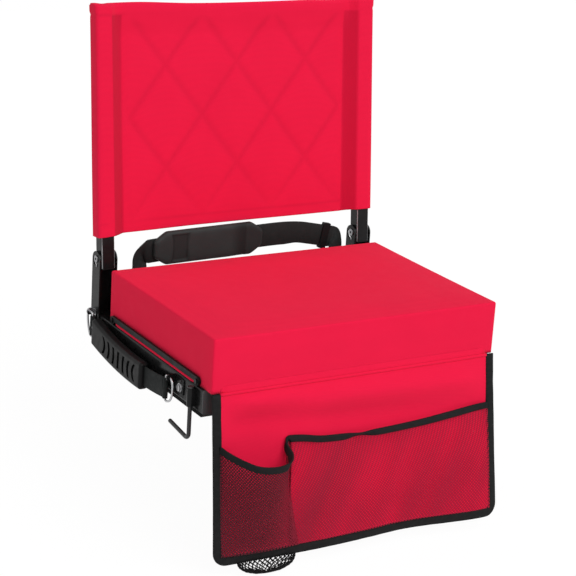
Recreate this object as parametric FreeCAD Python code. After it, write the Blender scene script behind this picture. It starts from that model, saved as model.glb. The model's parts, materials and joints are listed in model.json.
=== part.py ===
import FreeCAD
import Part

import math
import os

# Folding stadium seat: a box cushion on a tube frame, a back that folds forward onto it, wire hooks
# that reach under the bench, a carry handle, a shoulder strap and a pocket flap at the front.
# Millimetres and degrees. +X is to the right seen from the front, +Y to the back, +Z up.
# The origin is the middle of the underside that rests on the bench.

# Cushion
SEAT_WIDTH = 432.0
SEAT_DEPTH = 302.0
CUSHION_EDGE = 72.5
CUSHION_CROWN = 4.0
CROWN_AT_ENDS = 0.2
CUSHION_ROUND = 7.0
SIDE_DRAW_IN = 1.5
COVER_THICK = 1.2
FOAM_GAP = 0.3
BOARD_THICK = 9.0

# Base frame
FOOT_HEIGHT = 6.0
FOOT_WIDTH = 19.0
FOOT_CHAMFER = 7.0
MIDDLE_PAD_LENGTH = 100.0
RAIL_HEIGHT = 32.0
RAIL_WALL = 1.2
RAIL_INSET = 8.0
RAIL_SETBACK = 15.0
CROSS_WIDTH = 20.0
TUBE_ROUND = 2.5
CAP_FLANGE = 2.0
CAP_PLUG = 12.0
PLUG_GAP = 0.15

# Bolts, screws and rivets
BOARD_BOLT_R = 2.5
BOARD_BOLT_X = 120.0
BOARD_BOLT_BITE = 7.0
SMALL_BOLT_R = 2.5
BOLT_HEAD_R = 4.5
BOLT_HEAD_H = 2.4
HOLE_GAP = 0.2
FIT_GAP = 0.05
CUT_PAST = 1.0
NEAR = 0.01

# Edge bars along the cushion's lower sides
EDGE_BAR_HEIGHT = 7.0
EDGE_BAR_THICK = 3.5
EDGE_BAR_NOSE_R = 6.0
EDGE_BAR_TAIL = 7.0
EDGE_BAR_SETBACK = 29.0
EDGE_BAR_GAP = 0.3
EDGE_SCREW_R = 1.8
EDGE_SCREW_HEAD_R = 3.4
EDGE_SCREW_HEAD_H = 1.6
EDGE_SCREW_BITE = 16.0
EDGE_SCREW_END = 10.0

# Hinge
UPRIGHT = 20.0
UPRIGHT_WALL = 1.2
WASHER_THICK = 1.4
BRACKET_WALL = 2.0
BRACKET_BOTTOM = 10.0
BRACKET_BOLT_Z = (16.0, 31.0)
PIVOT_BEHIND = 35.0
PIVOT_RISE = 6.5
PIVOT_R = 3.0
PIVOT_HEAD_R = 5.2
PIVOT_HEAD_H = 1.6
PIVOT_BORE_R = 1.8
STOP_PIN_OFFSET = 9.5
STOP_PIN_R = 1.75
STOP_PIN_PROUD = 0.8
SLOT_GAP = 0.3
EAR_MARGIN = 2.0
EAR_FRONT = 10.6
EAR_RISE = 10.5
WEB_CLEARANCE = 1.5
RECLINE = 6.0
FOLD = 88.0

# Back
UPRIGHT_TAIL = 3.5
END_PLUG_FLANGE = 1.5
BACK_BOTTOM = 36.0
BACK_HEIGHT = 311.0
BACK_TOP_GAP = 3.0
POCKET_GAP = 0.4
POCKET_FLAT = 25.0
POCKET_SLANT_X = 21.0
POCKET_SLANT_DEPTH = 13.0
POCKET_ROUND = 3.0
PANEL_THICK = 4.0
HEM_HEIGHT = 16.0
HEM_THICK = 13.0
HEM_ROUND = 4.0
CROSSBAR_R = 5.0
CROSSBAR_WALL = 1.5
DIAMOND_WIDTH = 107.0
DIAMOND_HEIGHT = 139.0
DIAMOND_CENTRE = 187.0
QUILT_WIDTH = 3.0
QUILT_DEPTH = 0.8

# Bench hooks
HOOK_WIRE_R = 2.75
HOOK_SETBACK = 40.0
HOOK_DROP = 36.0
HOOK_REACH = 52.0
HOOK_RISE = 6.0
HOOK_BEND = 8.0
HOOK_HEAD_R = 4.2
HOOK_HEAD_H = 2.0
SLEEVE_WALL = 1.9
SLEEVE_HEIGHT = 24.0
END_PLAY = 0.3

# Carry handle
HANDLE_STANDOFF = 8.5
HANDLE_FRONT_Y = 91.0
HANDLE_FRONT_Z = 30.0
HANDLE_REAR_Y = 3.0
HANDLE_REAR_Z = 41.0
RING_WIRE_R = 1.5
RING_LENGTH = 20.0
RING_HEIGHT = 36.0
RING_BEND = 3.4
TAB_THICK = 1.5
TAB_LENGTH = 25.0
TAB_HALF = 5.0
TAB_DROP = 15.0
TAB_BOLT_S = 17.0
TAB_BOLT_T = 7.5
LUG_THICK = 2.0
LUG_FOOT = 8.0
TAB_WASHER_R = 6.0
TAB_WASHER_H = 1.2
HANDLE_STRAP_WIDTH = 28.0
HANDLE_STRAP_THICK = 2.4
HANDLE_SAG = 11.0
LOOP_WALL = 1.8
LOOP_GAP = 0.3
GRIP_FRONT_GAP = 70.0
GRIP_REAR_GAP = 22.5
GRIP_HALF_HEIGHT = 19.0
GRIP_INNER = 6.0
GRIP_OUTER = 8.0
GRIP_ROUND = 4.5
GRIP_RIBS = 7
GRIP_RIB_WIDTH = 6.0
GRIP_RIB_DEPTH = 2.5
GRIP_RIB_LEAD = 17.0
GRIP_RIB_TAIL = 40.0
GRIP_RIB_HALF = 12.0
GRIP_RIB_BOW_MIN = 0.4
STRAP_RIVET_R = 2.0
STRAP_RIVET_HEAD_R = 3.6
STRAP_RIVET_HEAD_H = 1.4
STRAP_RIVET_BACK = 7.5

# Shoulder strap
STRAP_WIDTH = 32.0
STRAP_THICK = 2.4
STRAP_Y = 37.0
STRAP_LEFT_INSET = 42.0
STRAP_RIGHT_INSET = 28.0
STRAP_LEFT_TOP = 12.7
STRAP_MIDDLE_RISE = 17.4
STRAP_FALL = 16.3
STRAP_FALL_INSET = 104.5
STRAP_BEND = 18.0
STRAP_TURN = 23.0
STRAP_BEND_STEPS = 5
STRAP_LONG_BEND = 60.0
STRAP_RING_R = 2.0
STRAP_RING_WIDTH = 40.0
STRAP_RING_HEIGHT = 22.0
STRAP_RING_BEND = 4.0
STRAP_LUG_THICK = 4.0
STRAP_LUG_RISE = 8.0
STRAP_LUG_END = 5.0
STRAP_LUG_Z = 24.0
STRAP_LUG_ROUND = 3.0
PAD_LENGTH = 174.0
PAD_HEIGHT = 46.0
PAD_THICK = 8.0
PAD_LEFT_GAP = 22.5
PAD_END_HEIGHT = 30.0
PAD_TAPER = 20.0
PAD_ROUND = 3.0
PAD_GAP = 0.3
PAD_SLOT_WIDTH = 26.0
PAD_SLOT_HEIGHT = 36.0
PAD_SLOT_DEPTH = 1.5
PAD_SLOT_X = 43.0
BUCKLE_LENGTH = 12.0
BUCKLE_WALL = 3.0
BUCKLE_GAP = 0.3
BUCKLE_BACK = 22.0

# Pocket flap
FLAP_LEAN = 8.5
FLAP_LENGTH = 225.0
FLAP_THICK = 1.6
FLAP_ROLL_R = 1.6
FLAP_SEAM_GAP = 0.3
FLAP_CORNER = 18.0
BINDING_WIDTH = 12.0
BINDING_THICK = 3.4
MESH_THICK = 1.2
MESH_GAP = 0.3
POCKET_TOP = 65.0
MOUTH_BINDING = 11.0
MOUTH_BINDING_THICK = 2.4
CUP_LEFT = 10.0
CUP_WIDTH = 98.0
CUP_FOOT_WIDTH = 106.0
CUP_DEPTH = 46.0
CUP_FOOT_DEPTH = 6.0
CUP_DIP = 22.0
NET_LEFT = 32.0
NET_WIDTH = 84.0
NET_DEPTH = 15.0
NET_DROP = 17.0
NET_CORE = 0.45
FLAT_GAP = 1.0
FLAT_DEPTH = 12.0
FLAT_FOOT_DEPTH = 6.0
FLAT_DIP = 7.0

# Places worked out from the sizes above
RAIL_BOTTOM = FOOT_HEIGHT
RAIL_TOP = FOOT_HEIGHT + RAIL_HEIGHT
RAIL_X = SEAT_WIDTH / 2 - RAIL_INSET
RAIL_WIDTH = UPRIGHT + 2 * (WASHER_THICK + FIT_GAP)
RAIL_OUT = RAIL_X + RAIL_WIDTH / 2
RAIL_IN = RAIL_X - RAIL_WIDTH / 2
SEAT_FRONT = -SEAT_DEPTH / 2
SEAT_REAR = SEAT_DEPTH / 2
RAIL_FRONT = SEAT_FRONT + RAIL_SETBACK
BOARD_TOP = RAIL_TOP + BOARD_THICK
PIVOT_Y = SEAT_REAR + PIVOT_BEHIND
PIVOT_Z = RAIL_TOP + CUSHION_EDGE + PIVOT_RISE
EAR_REAR = STOP_PIN_OFFSET + STOP_PIN_R + SLOT_GAP + EAR_MARGIN
WEB_INNER = PIVOT_Y + EAR_REAR - BRACKET_WALL
BRACKET_OUT = RAIL_OUT + BRACKET_WALL
UPRIGHT_BOTTOM = STOP_PIN_OFFSET + UPRIGHT_TAIL
TAIL_REACH = math.hypot(UPRIGHT_BOTTOM + END_PLUG_FLANGE, UPRIGHT / 2)
TAIL_AT_WEB = math.sqrt(max(TAIL_REACH ** 2 - (EAR_REAR - BRACKET_WALL) ** 2, 0))
WEB_TOP = PIVOT_Z - TAIL_AT_WEB - WEB_CLEARANCE
REAR_CROSS_Y = SEAT_REAR - CROSS_WIDTH
HANDLE_X = -(RAIL_OUT + HANDLE_STANDOFF)
STRAP_PLANE = SEAT_REAR + STRAP_Y
STRAP_LEFT_X = -(RAIL_IN - STRAP_LEFT_INSET)
STRAP_RIGHT_X = RAIL_IN - STRAP_RIGHT_INSET
PAD_CENTRE_X = STRAP_LEFT_X + PAD_LEFT_GAP + PAD_LENGTH / 2
POCKET_FOOT = FLAP_LENGTH - BINDING_WIDTH - MESH_GAP


def vec(x, y, z):
    return FreeCAD.Vector(x, y, z)


def box(x0, x1, y0, y1, z0, z1):
    return Part.makeBox(x1 - x0, y1 - y0, z1 - z0, vec(x0, y0, z0))


def rod(start, direction, radius, length):
    return Part.makeCylinder(radius, length, start, direction)


def mirrored(shape):
    return shape.mirror(vec(0, 0, 0), vec(1, 0, 0))


def both_sides(left):
    return left, mirrored(left)


def group(shapes):
    return Part.makeCompound(shapes)


def arc(start, middle, end):
    return Part.Arc(start, middle, end).toShape()


def line(start, end):
    return Part.LineSegment(start, end).toShape()


def filled(edges, sweep):
    return Part.Face(Part.Wire(edges)).extrude(sweep)


def polygon(points, sweep):
    return Part.Face(Part.makePolygon(points + points[:1])).extrude(sweep)


def edges_along(shape, axis):
    def parallel(edge):
        run = edge.Vertexes[-1].Point - edge.Vertexes[0].Point
        return run.Length > 0 and abs(run.normalize().dot(axis)) > 0.999
    return [e for e in shape.Edges if len(e.Vertexes) == 2 and parallel(e)]


def rounded_box(x0, x1, y0, y1, z0, z1, axis, radius):
    body = box(x0, x1, y0, y1, z0, z1)
    return body.makeFillet(radius, edges_along(body, axis))


def square_tube(low, high, axis, wall):
    """A hollow rectangular tube between two corners, running along axis."""
    outer = rounded_box(low.x, high.x, low.y, high.y, low.z, high.z, axis, TUBE_ROUND)
    across = vec(1, 1, 1) - axis
    a = low + across * wall - axis * CUT_PAST
    b = high - across * wall + axis * CUT_PAST
    inner = rounded_box(a.x, b.x, a.y, b.y, a.z, b.z, axis, TUBE_ROUND - wall)
    return outer.cut(inner)


def bent_edges(points, bends, closed=False):
    """Straight runs joined by tangent arcs; bends holds one radius per turned point."""
    count = len(points)
    turns = range(count) if closed else range(1, count - 1)
    cut = {}
    for k in turns:
        before = (points[k - 1] - points[k]).normalize()
        after = (points[(k + 1) % count] - points[k]).normalize()
        radius = bends[k] if isinstance(bends, dict) else bends
        half = before.getAngle(after) / 2
        centre = points[k] + (before + after).normalize() * (radius / math.sin(half))
        to_mid = (points[k] - centre).normalize() * radius
        tangent = radius / math.tan(half)
        cut[k] = (points[k] + before * tangent, centre + to_mid, points[k] + after * tangent)
    edges = []
    if closed:
        middle = (points[0] + points[1]) * 0.5
        here = middle
        order = list(range(1, count)) + [0]
    else:
        here = points[0]
        order = list(turns)
    for k in order:
        enter, mid, leave = cut[k]
        edges.append(line(here, enter))
        edges.append(arc(enter, mid, leave))
        here = leave
    edges.append(line(here, middle if closed else points[-1]))
    return edges


def wire_rod(points, radius, bends, closed=False):
    """A round wire bent along points."""
    path = Part.Wire(bent_edges(points, bends, closed))
    first = path.OrderedEdges[0]
    start = path.OrderedVertexes[0].Point
    along = first.tangentAt(first.FirstParameter)
    ring = Part.Wire(Part.makeCircle(radius, start, along))
    body = path.makePipeShell([ring], True, False)
    return body if body.ShapeType == "Solid" else Part.Solid(Part.Shell(body.Faces))


def ribbon(edges, turns, width, thick):
    """Flat webbing along edges in a plane of constant Y, rolled by turns at the edges' ends."""
    flat = vec(0, 1, 0)
    sections = []
    for k, edge in enumerate(edges):
        steps = 1 if edge.Curve.TypeId == "Part::GeomLine" else STRAP_BEND_STEPS
        for i in range(steps + 1 if edge is edges[-1] else steps):
            share = i / steps
            place = edge.FirstParameter + (edge.LastParameter - edge.FirstParameter) * share
            roll = turns[k] + (turns[k + 1] - turns[k]) * share
            level = edge.tangentAt(place).cross(flat)
            side = (level * math.cos(roll) + flat * math.sin(roll)) * (width / 2)
            face = (flat * math.cos(roll) - level * math.sin(roll)) * (thick / 2)
            at = edge.valueAt(place)
            corners = [at + side + face, at - side + face, at - side - face, at + side - face]
            sections.append(Part.makePolygon(corners + corners[:1]))
    return Part.makeLoft(sections, True, True)


# Cushion


def cushion_section(y, half, bottom, top, crown, radius):
    """One closed outline across the cushion: flat base, straight sides, rounded edges, crowned top."""
    lean = radius * (1 - math.sqrt(0.5))
    points = {
        "base_left": vec(-half, y, bottom),
        "base_right": vec(half, y, bottom),
        "right": vec(half, y, top - radius),
        "right_mid": vec(half - lean, y, top - lean),
        "top_right": vec(half - radius, y, top),
        "crown": vec(0, y, top + crown),
        "top_left": vec(radius - half, y, top),
        "left_mid": vec(lean - half, y, top - lean),
        "left": vec(-half, y, top - radius),
    }
    return Part.Wire([
        line(points["base_left"], points["base_right"]),
        line(points["base_right"], points["right"]),
        arc(points["right"], points["right_mid"], points["top_right"]),
        arc(points["top_right"], points["crown"], points["top_left"]),
        arc(points["top_left"], points["left_mid"], points["left"]),
        line(points["left"], points["base_left"]),
    ])


def cushion_form(inset, bottom):
    """The cushion's body, drawn in from its outside by inset, down to the height bottom."""
    reach = SEAT_DEPTH / 2 - inset
    radius = CUSHION_ROUND - inset
    places = []
    for degrees in (90, 60, 30, 0):
        turn = math.radians(degrees)
        places.append((-reach + radius * (1 - math.sin(turn)), radius * (1 - math.cos(turn))))
    inner = reach - radius
    places += [(-inner / 2, 0), (0, 0)]
    places += [(-y, e) for y, e in reversed(places[:-1])]
    sections = []
    for y, ease in places:
        swell = 1 - (y / reach) ** 2
        half = SEAT_WIDTH / 2 - inset - SIDE_DRAW_IN * swell - ease
        top = RAIL_TOP + CUSHION_EDGE - inset - ease
        crown = CROWN_AT_ENDS + CUSHION_CROWN * swell
        sections.append(cushion_section(y, half, bottom, top, crown, radius))
    return Part.makeLoft(sections, True, True)


def edge_screw_places():
    z = RAIL_TOP + EDGE_BAR_GAP + EDGE_BAR_NOSE_R
    front = SEAT_FRONT + EDGE_BAR_SETBACK + EDGE_BAR_NOSE_R
    rear = SEAT_REAR - EDGE_BAR_TAIL - EDGE_SCREW_END
    return [(front, z), (rear, z)]


def edge_screw_holes(radius):
    reach = SEAT_WIDTH + 2 * EDGE_BAR_THICK + 2 * EDGE_SCREW_HEAD_H
    return [rod(vec(-reach / 2, y, z), vec(1, 0, 0), radius, reach) for y, z in edge_screw_places()]


def edge_screw_sockets():
    deep = SEAT_WIDTH / 2 + EDGE_BAR_GAP - EDGE_SCREW_BITE
    inner = box(-deep, deep, SEAT_FRONT, SEAT_REAR, 0, BOARD_TOP)
    return [hole.cut(inner) for hole in edge_screw_holes(EDGE_SCREW_R + FIT_GAP)]


def board_bolt_places():
    rows = (RAIL_FRONT + CAP_FLANGE + CROSS_WIDTH / 2, 0.0, REAR_CROSS_Y + CROSS_WIDTH / 2)
    return [(x, y) for y in rows for x in (-BOARD_BOLT_X, BOARD_BOLT_X)]


def cushion_cover():
    shell = cushion_form(0, RAIL_TOP).cut(cushion_form(COVER_THICK, RAIL_TOP - CUT_PAST))
    return shell.cut(edge_screw_holes(EDGE_SCREW_R + HOLE_GAP))


def seat_foam():
    return cushion_form(COVER_THICK + FOAM_GAP, BOARD_TOP)


def seat_board():
    inset = COVER_THICK + FOAM_GAP
    half_x = SEAT_WIDTH / 2 - SIDE_DRAW_IN - inset
    half_y = SEAT_DEPTH / 2 - inset
    up = vec(0, 0, 1)
    board = rounded_box(-half_x, half_x, -half_y, half_y, RAIL_TOP, BOARD_TOP, up, CUSHION_ROUND)
    sockets = [
        rod(vec(x, y, RAIL_TOP), up, BOARD_BOLT_R + FIT_GAP, BOARD_BOLT_BITE)
        for x, y in board_bolt_places()
    ]
    return board.cut(sockets + edge_screw_sockets())


def edge_bar():
    """Left clamp bar: flat, level with the tops of the round noses that hold its screws."""
    outer = -(SEAT_WIDTH / 2 + EDGE_BAR_GAP + EDGE_BAR_THICK)
    (front_y, z), (rear_y, _) = edge_screw_places()
    top = z + EDGE_BAR_NOSE_R
    body = box(outer, outer + EDGE_BAR_THICK, front_y, rear_y, top - EDGE_BAR_HEIGHT, top)
    for y in (front_y, rear_y):
        body = body.fuse(rod(vec(outer, y, z), vec(1, 0, 0), EDGE_BAR_NOSE_R, EDGE_BAR_THICK))
    body = body.removeSplitter()
    return body.cut(edge_screw_holes(EDGE_SCREW_R + HOLE_GAP))


def edge_bar_screws():
    face = SEAT_WIDTH / 2 + EDGE_BAR_GAP + EDGE_BAR_THICK
    tip = SEAT_WIDTH / 2 + EDGE_BAR_GAP - EDGE_SCREW_BITE
    screws = []
    for y, z in edge_screw_places():
        top = vec(-face - EDGE_SCREW_HEAD_H, y, z)
        head = rod(top, vec(1, 0, 0), EDGE_SCREW_HEAD_R, EDGE_SCREW_HEAD_H)
        shank = rod(vec(-face, y, z), vec(1, 0, 0), EDGE_SCREW_R, face - tip)
        screws += both_sides(head.fuse(shank))
    return group(screws)


# Base frame


def bracket_bolt_places():
    y = PIVOT_Y + (EAR_REAR - BRACKET_WALL - EAR_FRONT) / 2
    return [(y, z) for z in BRACKET_BOLT_Z]


def side_rail(handle_side):
    """Left rail; the side with the handle has the hole for its tab bolt."""
    low = vec(-RAIL_OUT, RAIL_FRONT + CAP_FLANGE, RAIL_BOTTOM)
    high = vec(-RAIL_IN, WEB_INNER, RAIL_TOP)
    rail = square_tube(low, high, vec(0, 1, 0), RAIL_WALL)
    across = RAIL_WIDTH + 2 * CUT_PAST
    holes = [
        rod(vec(-RAIL_OUT - CUT_PAST, y, z), vec(1, 0, 0), SMALL_BOLT_R + HOLE_GAP, across)
        for y, z in bracket_bolt_places()
    ]
    if handle_side:
        start = vec(0, -TAB_BOLT_S, -TAB_BOLT_T)
        deep = HANDLE_STANDOFF + RAIL_WIDTH / 2
        holes.append(handle_placed(rod(start, vec(1, 0, 0), SMALL_BOLT_R + HOLE_GAP, deep)))
    return rail.cut(holes)


def rail_end_cap():
    """Plug with a flange that closes the left rail's front end."""
    back = RAIL_FRONT + CAP_FLANGE
    flange = rounded_box(
        -RAIL_OUT, -RAIL_IN, RAIL_FRONT, back, RAIL_BOTTOM, RAIL_TOP, vec(0, 1, 0), TUBE_ROUND
    )
    inset = RAIL_WALL + PLUG_GAP
    plug = rounded_box(
        -RAIL_OUT + inset, -RAIL_IN - inset, back, back + CAP_PLUG,
        RAIL_BOTTOM + inset, RAIL_TOP - inset, vec(0, 1, 0), TUBE_ROUND - RAIL_WALL
    )
    return flange.fuse(plug)


def cross_tube(front):
    low = vec(-RAIL_IN, front, RAIL_BOTTOM)
    high = vec(RAIL_IN, front + CROSS_WIDTH, RAIL_TOP)
    tube = square_tube(low, high, vec(1, 0, 0), RAIL_WALL)
    through = RAIL_HEIGHT + 2 * CUT_PAST
    holes = [
        rod(vec(x, y, RAIL_BOTTOM - CUT_PAST), vec(0, 0, 1), BOARD_BOLT_R + HOLE_GAP, through)
        for x, y in board_bolt_places()
    ]
    return tube.cut(holes)


def board_bolts():
    bolts = []
    for x, y in board_bolt_places():
        shank = rod(vec(x, y, RAIL_BOTTOM), vec(0, 0, 1), BOARD_BOLT_R, RAIL_HEIGHT + BOARD_BOLT_BITE)
        head = rod(vec(x, y, RAIL_BOTTOM - BOLT_HEAD_H), vec(0, 0, 1), BOLT_HEAD_R, BOLT_HEAD_H)
        bolts.append(shank.fuse(head))
    return group(bolts)


def foot_strip():
    """Rubber strip under the left rail, chamfered at its front end."""
    front = RAIL_FRONT
    rear = WEB_INNER
    x = -RAIL_X - FOOT_WIDTH / 2
    outline = [
        vec(x, front, RAIL_BOTTOM), vec(x, rear, RAIL_BOTTOM), vec(x, rear, 0),
        vec(x, front + FOOT_CHAMFER, 0),
    ]
    return polygon(outline, vec(FOOT_WIDTH, 0, 0))


def middle_pad():
    half_x = MIDDLE_PAD_LENGTH / 2
    half_y = FOOT_WIDTH / 2
    return rounded_box(-half_x, half_x, -half_y, half_y, 0, RAIL_BOTTOM, vec(0, 0, 1), TUBE_ROUND)


# Hinge


def stop_slot():
    """Arc slot that lets the stop pin travel from the reclined back to the folded back."""
    half = STOP_PIN_R + SLOT_GAP
    spare = math.degrees(SLOT_GAP / STOP_PIN_OFFSET)

    def at(radius, degrees):
        turn = math.radians(degrees)
        y = PIVOT_Y - radius * math.sin(turn)
        return vec(-BRACKET_OUT - CUT_PAST, y, PIVOT_Z - radius * math.cos(turn))

    first = RECLINE + spare
    last = RECLINE - FOLD - spare
    middle = (first + last) / 2
    near = STOP_PIN_OFFSET - half
    far = STOP_PIN_OFFSET + half
    past = math.degrees(half / STOP_PIN_OFFSET)
    edges = [
        arc(at(near, first), at(near, middle), at(near, last)),
        arc(at(near, last), at(STOP_PIN_OFFSET, last - past), at(far, last)),
        arc(at(far, last), at(far, middle), at(far, first)),
        arc(at(far, first), at(STOP_PIN_OFFSET, first + past), at(near, first)),
    ]
    return filled(edges, vec(RAIL_WIDTH + 2 * BRACKET_WALL + 2 * CUT_PAST, 0, 0))


def hinge_bracket():
    """Left bracket: a channel open to the front, with two round ears above its web."""
    front = PIVOT_Y - EAR_FRONT
    rear = PIVOT_Y + EAR_REAR
    middle = (front + rear) / 2

    def cheek(x):
        return filled([
            line(vec(x, front, BRACKET_BOTTOM), vec(x, front, PIVOT_Z)),
            arc(vec(x, front, PIVOT_Z), vec(x, middle, PIVOT_Z + EAR_RISE), vec(x, rear, PIVOT_Z)),
            line(vec(x, rear, PIVOT_Z), vec(x, rear, BRACKET_BOTTOM)),
            line(vec(x, rear, BRACKET_BOTTOM), vec(x, front, BRACKET_BOTTOM)),
        ], vec(BRACKET_WALL, 0, 0))

    web = box(-BRACKET_OUT, -RAIL_IN + BRACKET_WALL, WEB_INNER, rear, BRACKET_BOTTOM, WEB_TOP)
    body = web.fuse([cheek(-BRACKET_OUT), cheek(-RAIL_IN)]).removeSplitter()
    across = RAIL_WIDTH + 2 * BRACKET_WALL + 2 * CUT_PAST
    holes = [rod(vec(-BRACKET_OUT - CUT_PAST, PIVOT_Y, PIVOT_Z), vec(1, 0, 0), PIVOT_R + FIT_GAP, across)]
    holes += [
        rod(vec(-BRACKET_OUT - CUT_PAST, y, z), vec(1, 0, 0), SMALL_BOLT_R + HOLE_GAP, across)
        for y, z in bracket_bolt_places()
    ]
    return body.cut(holes + [stop_slot()])


def bracket_bolts():
    bolts = []
    for y, z in bracket_bolt_places():
        length = RAIL_WIDTH + 2 * BRACKET_WALL
        shank = rod(vec(-BRACKET_OUT, y, z), vec(1, 0, 0), SMALL_BOLT_R, length)
        head = rod(vec(-BRACKET_OUT - BOLT_HEAD_H, y, z), vec(1, 0, 0), BOLT_HEAD_R, BOLT_HEAD_H)
        nut = rod(vec(-BRACKET_OUT + length, y, z), vec(1, 0, 0), BOLT_HEAD_R, BOLT_HEAD_H)
        bolts += both_sides(shank.fuse([head, nut]))
    return group(bolts)


def pivot_rivets():
    """Hollow rivets through ears and uprights."""
    length = RAIL_WIDTH + 2 * BRACKET_WALL
    start = vec(-BRACKET_OUT, PIVOT_Y, PIVOT_Z)
    x = vec(1, 0, 0)
    shank = rod(start, x, PIVOT_R, length)
    heads = [
        rod(start - x * PIVOT_HEAD_H, x, PIVOT_HEAD_R, PIVOT_HEAD_H),
        rod(start + x * length, x, PIVOT_HEAD_R, PIVOT_HEAD_H),
    ]
    past = PIVOT_HEAD_H + CUT_PAST
    bore = rod(start - x * past, x, PIVOT_BORE_R, length + 2 * past)
    return group(both_sides(shank.fuse(heads).cut(bore)))


def hinge_washers():
    radius = STOP_PIN_OFFSET - STOP_PIN_R - SLOT_GAP
    washers = []
    for x in (-RAIL_OUT, -RAIL_IN - WASHER_THICK):
        start = vec(x, PIVOT_Y, PIVOT_Z)
        disc = rod(start, vec(1, 0, 0), radius, WASHER_THICK)
        washers += both_sides(disc.cut(rod(start, vec(1, 0, 0), PIVOT_R + FIT_GAP, WASHER_THICK)))
    return group(washers)


# Back, built upright on its pivot and then leaned back


def back_placed(shape):
    shape = shape.copy()
    shape.rotate(vec(0, 0, 0), vec(1, 0, 0), -RECLINE)
    shape.translate(vec(0, PIVOT_Y, PIVOT_Z))
    return shape


def upright_top():
    return BACK_BOTTOM + BACK_HEIGHT - BACK_TOP_GAP


def upright():
    half = UPRIGHT / 2
    low = vec(-RAIL_X - half, -half, -UPRIGHT_BOTTOM)
    high = vec(-RAIL_X + half, half, upright_top())
    tube = square_tube(low, high, vec(0, 0, 1), UPRIGHT_WALL)
    start = vec(-RAIL_X - UPRIGHT, 0, 0)
    pivot = rod(start, vec(1, 0, 0), PIVOT_R + FIT_GAP, 2 * UPRIGHT)
    pin = rod(start - vec(0, 0, STOP_PIN_OFFSET), vec(1, 0, 0), STOP_PIN_R + FIT_GAP, 2 * UPRIGHT)
    return back_placed(tube.cut([pivot, pin]))


def stop_pins():
    reach = RAIL_WIDTH / 2 + BRACKET_WALL + STOP_PIN_PROUD
    pin = rod(vec(-RAIL_X - reach, 0, -STOP_PIN_OFFSET), vec(1, 0, 0), STOP_PIN_R, 2 * reach)
    return group(both_sides(back_placed(pin)))


def upright_plugs():
    """Flanged plugs in the lower ends of both uprights."""
    half = UPRIGHT / 2
    bottom = -UPRIGHT_BOTTOM
    up = vec(0, 0, 1)
    flange = rounded_box(
        -RAIL_X - half, -RAIL_X + half, -half, half, bottom - END_PLUG_FLANGE, bottom, up, TUBE_ROUND
    )
    inner = half - UPRIGHT_WALL - PLUG_GAP
    depth = UPRIGHT_TAIL - STOP_PIN_R - SLOT_GAP
    plug = rounded_box(
        -RAIL_X - inner, -RAIL_X + inner, -inner, inner, bottom, bottom + depth, up, TUBE_ROUND - UPRIGHT_WALL
    )
    return group(both_sides(back_placed(flange.fuse(plug))))


def panel_front():
    return POCKET_SLANT_DEPTH - UPRIGHT / 2 - POCKET_GAP - COVER_THICK


def crossbar_place():
    return panel_front() + PANEL_THICK / 2, BACK_BOTTOM + BACK_HEIGHT - HEM_HEIGHT / 2


def top_crossbar():
    half = RAIL_X - UPRIGHT / 2
    y, z = crossbar_place()
    bar = rod(vec(-half, y, z), vec(1, 0, 0), CROSSBAR_R, 2 * half)
    bore = rod(vec(-half, y, z), vec(1, 0, 0), CROSSBAR_R - CROSSBAR_WALL, 2 * half)
    return back_placed(bar.cut(bore))


def quilt_grooves(half_x, low, high):
    """Sewn diamond lines across the panel's front, as shallow V cuts."""
    front = panel_front()
    slope = DIAMOND_HEIGHT / DIAMOND_WIDTH
    grooves = []
    reach = int((high - low + half_x * slope) / DIAMOND_HEIGHT) + 1
    for sign in (1, -1):
        for k in range(-reach, reach + 1):
            level = DIAMOND_CENTRE + DIAMOND_HEIGHT * (k + 0.5)
            ends = [(x, level + sign * slope * x) for x in (-half_x, half_x)]
            ends += [(sign * (z - level) / slope, z) for z in (low, high)]
            inside = [
                (x, z) for x, z in ends if abs(x) <= half_x + NEAR and low - NEAR <= z <= high + NEAR
            ]
            if len(inside) < 2:
                continue
            (xa, za), (xb, zb) = min(inside), max(inside)
            a = vec(xa, front, za)
            along = vec(xb, front, zb) - a
            if along.Length < DIAMOND_WIDTH / 4:
                continue
            side = along.cross(vec(0, 1, 0)).normalize() * (QUILT_WIDTH / 2)
            lip = vec(0, QUILT_DEPTH, 0)
            grooves.append(polygon([a - side - lip * 0.5, a + side - lip * 0.5, a + lip], along))
    return grooves


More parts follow.
